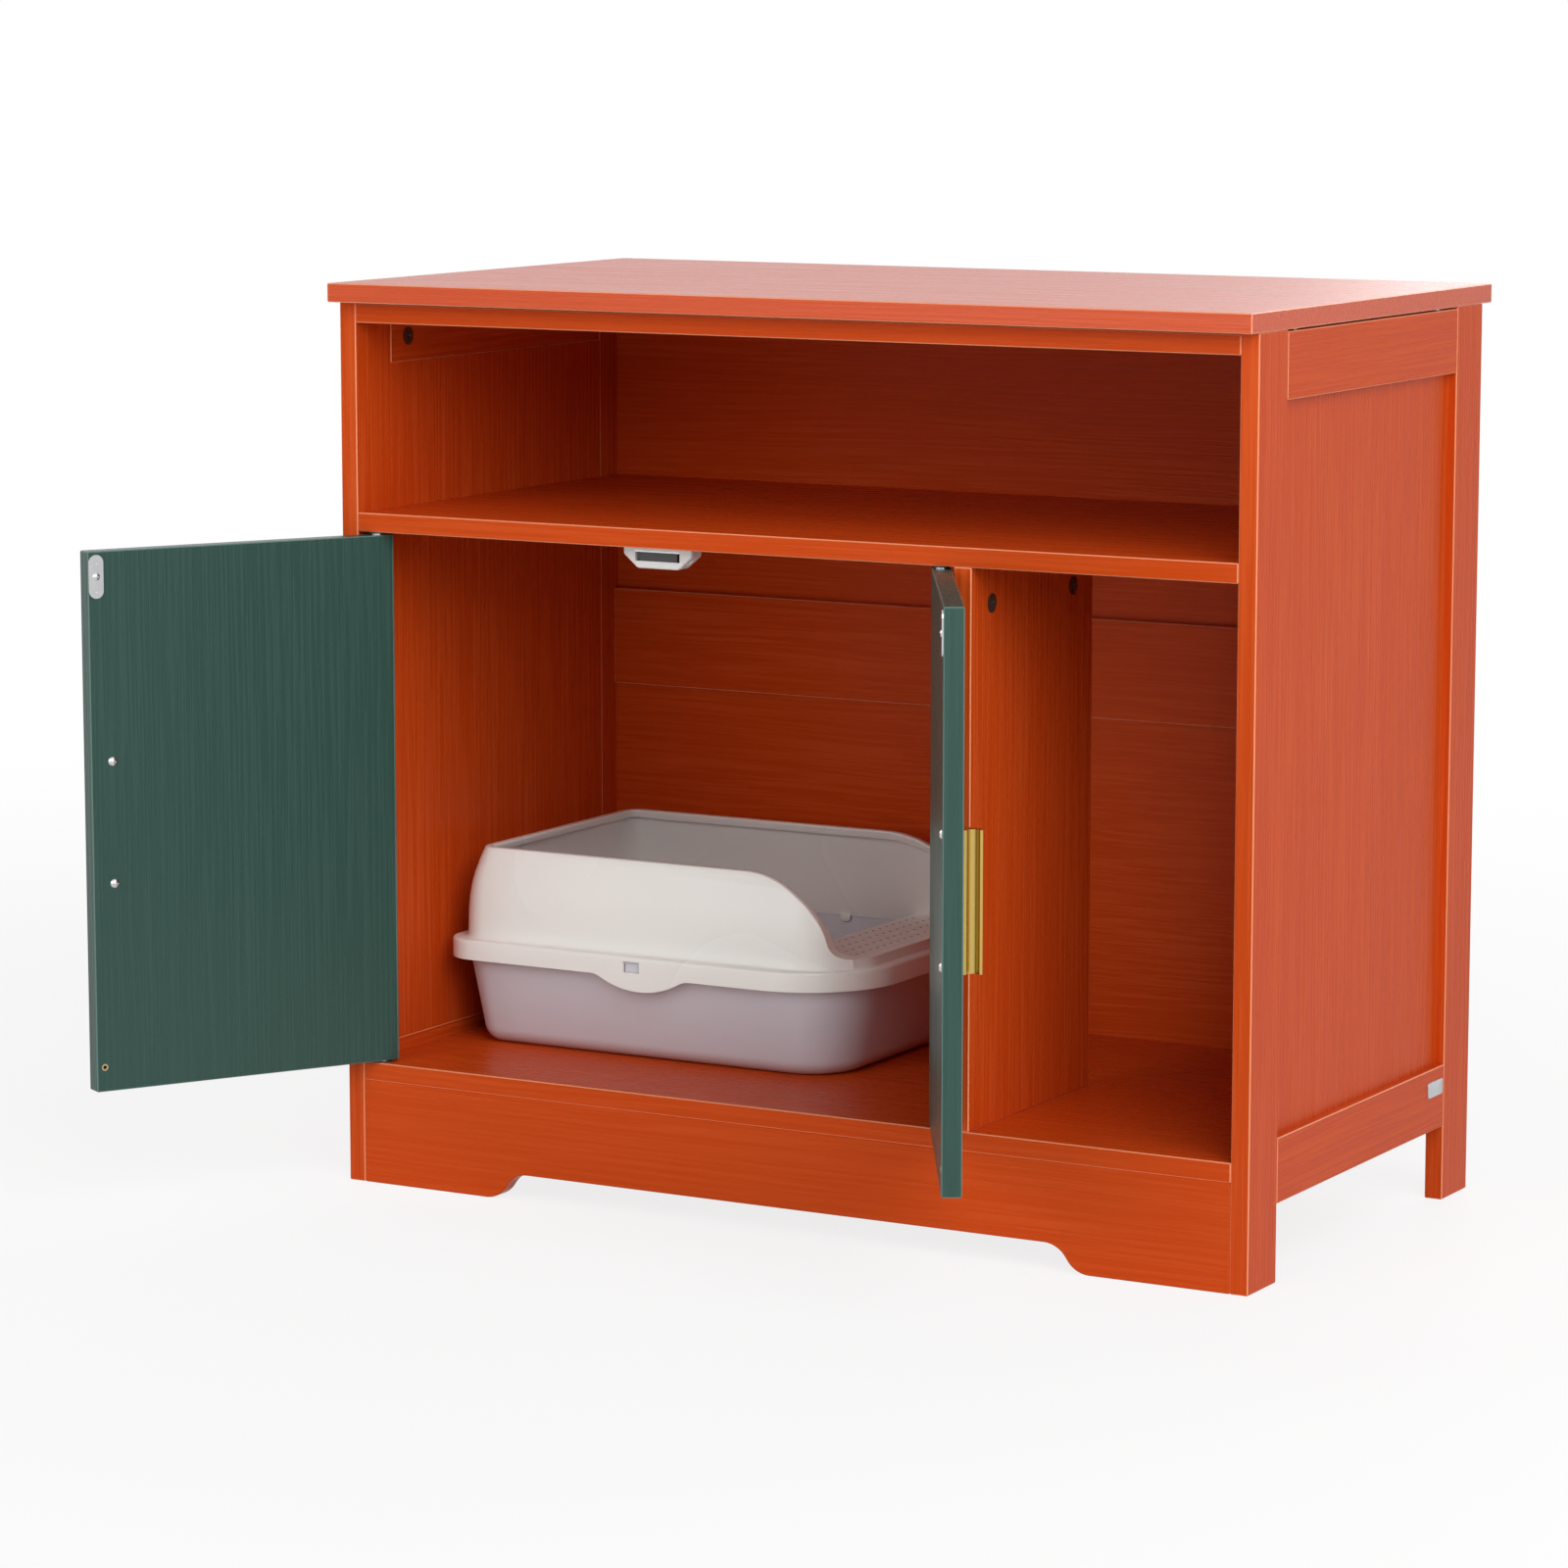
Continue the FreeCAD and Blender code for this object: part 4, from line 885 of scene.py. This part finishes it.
class CABINET_OT_make_hood(bpy.types.Operator):
    """Make the white hood with its rim and its sloping step"""

    bl_idname = "cabinet.make_hood"
    bl_label = "Make the hood"

    def execute(self, context):
        white = moulded("white_hood_plastic", tray().hood, 0.97, (0.25, 0.30))
        hood = merged_copy("tray_hood", "litter_hood", white)
        low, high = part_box("tray_hood")
        centre = (low + high) / 2
        half = (high - low) / 2
        shoulder = high.z - HOOD_WALL_HIGH
        edit(hood)
        for share in WALL_CUTS:
            bpy.ops.mesh.select_all(action="SELECT")
            level = shoulder + HOOD_WALL_HIGH * share
            bpy.ops.mesh.bisect(plane_co=(0, 0, level), plane_no=(0, 0, 1))
        leave_edit()
        levels = sorted({round(point.co.z, 4) for point in hood.data.vertices})
        edit(hood)
        for level in levels:
            share = (level - shoulder) / HOOD_WALL_HIGH
            if not 0 < share < 1:
                continue
            swell = tray().wall_swell * math.sin(math.pi * share**SWELL_LIFT)
            pick_points(hood, lambda co: abs(co.z - level) < SAME_LEVEL)
            bpy.ops.transform.resize(
                value=(1 + swell / half.x, 1 + swell / half.y, 1), center_override=centre
            )
        bpy.ops.mesh.select_all(action="SELECT")
        bpy.ops.mesh.remove_doubles(threshold=NEAR_POINTS)
        for foot, (least, most), offset, segments in (
            (RIM_FOOT, RIM_ANGLES, tray().rim_round, 4),
            (LIP_FOOT, LIP_ANGLES, tray().lip_round, 2),
        ):
            pick_sharp(
                hood, lambda middle, angle: middle.z > shoulder + foot and least < angle < most
            )
            bpy.ops.mesh.bevel(offset=offset, segments=segments)
        pick_sharp(
            hood, lambda middle, angle: abs(middle.z - shoulder) < NEAR_POINTS and angle < -30
        )
        bpy.ops.mesh.bevel(offset=SHOULDER_FILLET, segments=3)
        leave_edit()
        stand_in(hood, "tray_hood")
        return {"FINISHED"}


class CABINET_OT_make_step_grip(bpy.types.Operator):
    """Raise rows of small bars on the hood's step and lay a thin dark disc of painted shade
    beside each, where a hole would be
    """

    bl_idname = "cabinet.make_step_grip"
    bl_label = "Make the step grip"

    def execute(self, context):
        hood_low, hood_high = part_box("tray_hood")
        shoulder = hood_high.z - HOOD_WALL_HIGH
        face = shoulder + STEP_FACE + STEP_SLOPE * GRIP_RISE_RUN
        start = Vector((hood_low.x + GRIP_START, 0, face))
        rows = int((hood_high.y - hood_low.y - GRIP_END_MARGIN * 2) / GRIP_ROW_PITCH)
        start.y = (hood_low.y + hood_high.y - (rows - 1) * GRIP_ROW_PITCH) / 2
        length, width, height = tray().bar_length, tray().bar_width, tray().bar_height
        pale = moulded("grip_plastic", tray().hood, 0.97, (0.25, 0.30))
        bpy.ops.object.select_all(action="DESELECT")
        bpy.ops.mesh.primitive_cube_add(
            size=1,
            location=start + Vector((length * 0.75, 0, 0)),
            scale=(length, width, height),
        )
        bars = named("step_grip", pale)
        settle(bars)
        edit(bars)
        pick_edges(bars, lambda a, b: abs(a.z - b.z) > height / 2)
        bpy.ops.mesh.bevel(offset=width * 0.45, segments=3)
        pick_edges(bars, lambda a, b: min(a.z, b.z) > start.z + height * 0.4)
        bpy.ops.mesh.bevel(offset=height * 0.4, segments=2)
        leave_edit()
        self.spread(bars, rows)
        # Painted shade: thin dark discs on the step stand in for the shade inside small holes.
        dark = skinned("hole_shade", (0.10, 0.09, 0.08), (0.08, 0.07, 0.06), (0.6, 0.7))
        bpy.ops.object.select_all(action="DESELECT")
        edge = GRIP_HOLE_THICK / 3
        bpy.ops.mesh.primitive_cylinder_add(
            vertices=12,
            radius=GRIP_HOLE_RADIUS,
            depth=GRIP_HOLE_THICK,
            location=start + Vector((0, 0, edge)),
        )
        hole_shade_discs = named("step_hole_shade_discs", dark)
        settle(hole_shade_discs)
        edit(hole_shade_discs)
        pick_edges(hole_shade_discs, lambda a, b: min(a.z, b.z) > start.z + edge)
        bpy.ops.mesh.bevel(offset=edge, segments=1)
        leave_edit()
        self.spread(hole_shade_discs, rows)
        for piece in (bars, hole_shade_discs):
            only(piece)
            bpy.ops.object.shade_smooth_by_angle(angle=SMOOTH_GRIP)
            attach(piece, "hood")
        return {"FINISHED"}

    def spread(self, piece, rows):
        """Repeat the first one over the step, without those outside its round corners."""
        only(piece)
        for name, count, offset in (
            ("across", GRIP_COLUMNS, (GRIP_COLUMN_PITCH, 0, STEP_SLOPE * GRIP_COLUMN_PITCH)),
            ("along", rows, (0, GRIP_ROW_PITCH, 0)),
        ):
            repeat = piece.modifiers.new(name, "ARRAY")
            repeat.count = count
            repeat.use_relative_offset = False
            repeat.use_constant_offset = True
            repeat.constant_offset_displace = offset
            bpy.ops.object.modifier_apply(modifier=name)
        hood_low, hood_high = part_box("tray_hood")
        right = hood_high.x - GRIP_RIGHT_MARGIN
        middle = (hood_low.y + hood_high.y) / 2
        reach = (hood_high.y - hood_low.y) / 2 - GRIP_SIDE_MARGIN

        def outside(co):
            over_x = co.x - (right - GRIP_CORNER)
            over_y = abs(co.y - middle) - (reach - GRIP_CORNER)
            return over_x > 0 and over_y > 0 and math.hypot(over_x, over_y) > GRIP_CORNER

        edit(piece)
        pick_points(piece, outside)
        bpy.ops.mesh.select_linked()
        bpy.ops.mesh.delete(type="VERT")
        leave_edit()


class CABINET_OT_make_hood_clip(bpy.types.Operator):
    """Hang the small round clip from the hood's rear wall"""

    bl_idname = "cabinet.make_hood_clip"
    bl_label = "Make the hood clip"

    def execute(self, context):
        low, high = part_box("tray_hood")
        bpy.ops.object.select_all(action="DESELECT")
        bpy.ops.mesh.primitive_cube_add(
            size=1,
            location=(
                low.x + CLIP_FROM_LEFT,
                high.y - CLIP_FROM_REAR,
                high.z - CLIP_BELOW_RIM,
            ),
            scale=CLIP_SIZE,
        )
        clip = named("hood_clip", bpy.data.materials["white_hood_plastic"])
        settle(clip)
        edit(clip)
        foot = high.z - CLIP_FOOT
        pick_edges(clip, lambda a, b: abs(a.y - b.y) > CLIP_SIZE[1] / 2 and a.z < foot)
        bpy.ops.mesh.bevel(offset=CLIP_ROUND, segments=6)
        front = high.y - CLIP_FROM_REAR - CLIP_SIZE[1] / 3
        pick_edges(clip, lambda a, b: max(a.y, b.y) < front)
        bpy.ops.mesh.bevel(offset=CLIP_EDGE, segments=2)
        leave_edit()
        bpy.ops.object.shade_smooth_by_angle(angle=SMOOTH)
        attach(clip, "hood")
        return {"FINISHED"}


class CABINET_OT_make_hole_rings(bpy.types.Operator):
    """Line the spare hole low in each door with a thin brass ring"""

    bl_idname = "cabinet.make_hole_rings"
    bl_label = "Make the hole rings"

    def execute(self, context):
        colour = metal().brass
        shade = scaled_colour(colour, 0.8)
        brass = skinned("brass_ring", colour, shade, (0.3, 0.4), 1.0, 200.0)
        for side, sign in (("left", -1), ("right", 1)):
            outwards = Vector((-sign * math.sin(DOORS_OPEN), math.cos(DOORS_OPEN), 0))
            bpy.ops.object.select_all(action="DESELECT")
            bpy.ops.mesh.primitive_cylinder_add(
                vertices=32,
                radius=RING_RADIUS,
                depth=RING_THICK,
                location=HOLE_PLACES[side],
                rotation=outwards.to_track_quat("Z", "Y").to_euler(),
            )
            ring = named(f"{side}_hole_ring", brass)
            settle(ring)
            edit(ring)
            pick_faces(ring, lambda face: abs(face.normal.dot(outwards)) > 0.9)
            bpy.ops.mesh.inset(thickness=RING_WALL)
            bpy.ops.mesh.bridge_edge_loops()
            leave_edit()
            bpy.ops.object.shade_smooth_by_angle(angle=SMOOTH)
            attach(ring, f"{side}_door")
        return {"FINISHED"}


class CABINET_OT_make_badge_plate(bpy.types.Operator):
    """Make the bare plate on the right bottom rail"""

    bl_idname = "cabinet.make_badge_plate"
    bl_label = "Make the badge plate"

    def execute(self, context):
        low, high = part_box("right_bottom_rail")
        length, height = badge().size
        thick = badge().thickness
        level = (low.z + high.z) / 2 + PLATE_RAISED
        bpy.ops.object.select_all(action="DESELECT")
        bpy.ops.mesh.primitive_cube_add(
            size=1,
            location=(high.x + thick / 2, high.y - PLATE_FROM_REAR, level),
            scale=(thick, length, height),
        )
        silver = skinned(
            "badge_silver", (0.55, 0.56, 0.58), (0.50, 0.51, 0.53), (0.26, 0.34), 1.0, 200.0
        )
        plate = named("badge_plate", silver)
        settle(plate)
        edit(plate)
        pick_edges(plate, lambda a, b: abs(a.x - b.x) > thick / 2)
        bpy.ops.mesh.bevel(offset=PLATE_CORNER, segments=6)
        pick_edges(plate, lambda a, b: min(a.x, b.x) > high.x + thick * 0.9)
        bpy.ops.mesh.bevel(offset=PLATE_EDGE, segments=2)
        leave_edit()
        bpy.ops.object.shade_smooth_by_angle(angle=SMOOTH_PLATE)
        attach(plate, "cabinet")
        return {"FINISHED"}


class CABINET_OT_set_stage(bpy.types.Operator):
    """Lay the floor, hang the lights and place the camera"""

    bl_idname = "cabinet.set_stage"
    bl_label = "Set the stage"

    def execute(self, context):
        self.lay_floor()
        self.light_world()
        self.hang_lights()
        self.place_camera()
        context.scene.view_settings.view_transform = "Standard"
        return {"FINISHED"}

    def lay_floor(self):
        size = stage().floor_size
        bpy.ops.object.select_all(action="DESELECT")
        bpy.ops.mesh.primitive_plane_add(size=size, location=(0, 0, 0))
        material = bpy.data.materials.new("pale_floor")
        material.use_nodes = True
        tree = material.node_tree
        shader = tree.nodes["Principled BSDF"]
        shader.inputs["Base Color"].default_value = (0.86, 0.86, 0.86, 1)
        shader.inputs["Roughness"].default_value = 0.6
        glow = add_node(tree, "ShaderNodeEmission", Color=(1, 1, 1, 1), Strength=1.0)
        where = add_node(tree, "ShaderNodeTexCoord")
        far = add_node(tree, "ShaderNodeVectorMath", {"operation": "LENGTH"})
        link(tree, where, "Object", far, 0)
        share = add_node(
            tree,
            "ShaderNodeMapRange",
            {"interpolation_type": "SMOOTHSTEP"},
            From_Min=FLOOR_NEAR,
            From_Max=FLOOR_FAR,
            To_Min=FLOOR_WHITE_NEAR,
            To_Max=1.0,
        )
        link(tree, far, "Value", share, "Value")
        shown = add_node(tree, "ShaderNodeMath", {"operation": "MULTIPLY"})
        link(tree, shows_white(tree), "Value", shown, 0)
        link(tree, share, "Result", shown, 1)
        mix = add_node(tree, "ShaderNodeMixShader")
        link(tree, shown, "Value", mix, "Fac")
        link(tree, shader, "BSDF", mix, 1)
        link(tree, glow, "Emission", mix, 2)
        link(tree, mix, "Shader", tree.nodes["Material Output"], "Surface")
        floor = named("floor", material)

    def light_world(self):
        world = bpy.data.worlds.new("studio_air")
        bpy.context.scene.world = world
        world.use_nodes = True
        tree = world.node_tree
        lamp = tree.nodes["Background"]
        lamp.inputs["Color"].default_value = (1, 1, 1, 1)
        lamp.inputs["Strength"].default_value = stage().air_light
        white = add_node(tree, "ShaderNodeBackground", Color=(1, 1, 1, 1), Strength=1.0)
        mix = add_node(tree, "ShaderNodeMixShader")
        link(tree, shows_white(tree), "Value", mix, "Fac")
        link(tree, lamp, "Background", mix, 1)
        link(tree, white, "Background", mix, 2)
        link(tree, mix, "Shader", tree.nodes["World Output"], "Surface")

    def hang_lights(self):
        for name, place, size, power in LIGHTS:
            bpy.ops.object.light_add(type="AREA", location=place)
            light = bpy.context.object
            light.name = name
            light.data.size = size
            light.data.energy = power
            away = Vector(place) - Vector(LIGHT_TARGET)
            light.rotation_euler = away.to_track_quat("Z", "Y").to_euler()

    def place_camera(self):
        settings = stage()
        turn = (math.pi / 2 - settings.camera_dip, 0, settings.camera_yaw)
        bpy.ops.object.camera_add(location=settings.camera_place, rotation=turn)
        camera = bpy.context.object
        camera.data.sensor_width = 36.0
        camera.data.lens = settings.camera_lens
        camera.data.clip_end = 100.0
        bpy.context.scene.camera = camera


class CABINET_PT_builder(bpy.types.Panel):
    """The cabinet's settings and the steps that dress it"""

    bl_label = "Litter box cabinet"
    bl_idname = "CABINET_PT_builder"
    bl_space_type = "VIEW_3D"
    bl_region_type = "UI"
    bl_category = "Cabinet"

    def draw(self, context):
        for step in STEPS:
            self.layout.operator(step.bl_idname)
        for attribute, group in SETTINGS.items():
            box = self.layout.box()
            box.label(text=group.__doc__)
            for name in group.__annotations__:
                box.prop(getattr(context.scene, attribute), name)


SETTINGS = {
    "cabinet_paint": PaintSettings,
    "cabinet_metal": MetalSettings,
    "cabinet_tray": TraySettings,
    "cabinet_badge": BadgeSettings,
    "cabinet_stage": StageSettings,
}
STEPS = (
    CABINET_OT_paint_boards,
    CABINET_OT_finish_fittings,
    CABINET_OT_make_catch,
    CABINET_OT_make_handles,
    CABINET_OT_make_tub,
    CABINET_OT_make_hood,
    CABINET_OT_make_step_grip,
    CABINET_OT_make_hood_clip,
    CABINET_OT_make_hole_rings,
    CABINET_OT_make_badge_plate,
    CABINET_OT_set_stage,
)


def register():
    for group in SETTINGS.values():
        bpy.utils.register_class(group)
    for attribute, group in SETTINGS.items():
        setattr(bpy.types.Scene, attribute, bpy.props.PointerProperty(type=group))
    for step in STEPS:
        bpy.utils.register_class(step)
    bpy.utils.register_class(CABINET_PT_builder)


def unregister():
    bpy.utils.unregister_class(CABINET_PT_builder)
    for step in reversed(STEPS):
        bpy.utils.unregister_class(step)
    for attribute, group in SETTINGS.items():
        delattr(bpy.types.Scene, attribute)
        bpy.utils.unregister_class(group)


def main():
    register()
    bpy.ops.cabinet.paint_boards()
    bpy.ops.cabinet.finish_fittings()
    bpy.ops.cabinet.make_catch()
    bpy.ops.cabinet.make_handles()
    bpy.ops.cabinet.make_tub()
    bpy.ops.cabinet.make_hood()
    bpy.ops.cabinet.make_step_grip()
    bpy.ops.cabinet.make_hood_clip()
    bpy.ops.cabinet.make_hole_rings()
    bpy.ops.cabinet.make_badge_plate()
    bpy.ops.cabinet.set_stage()


if __name__ == "__main__":
    main()
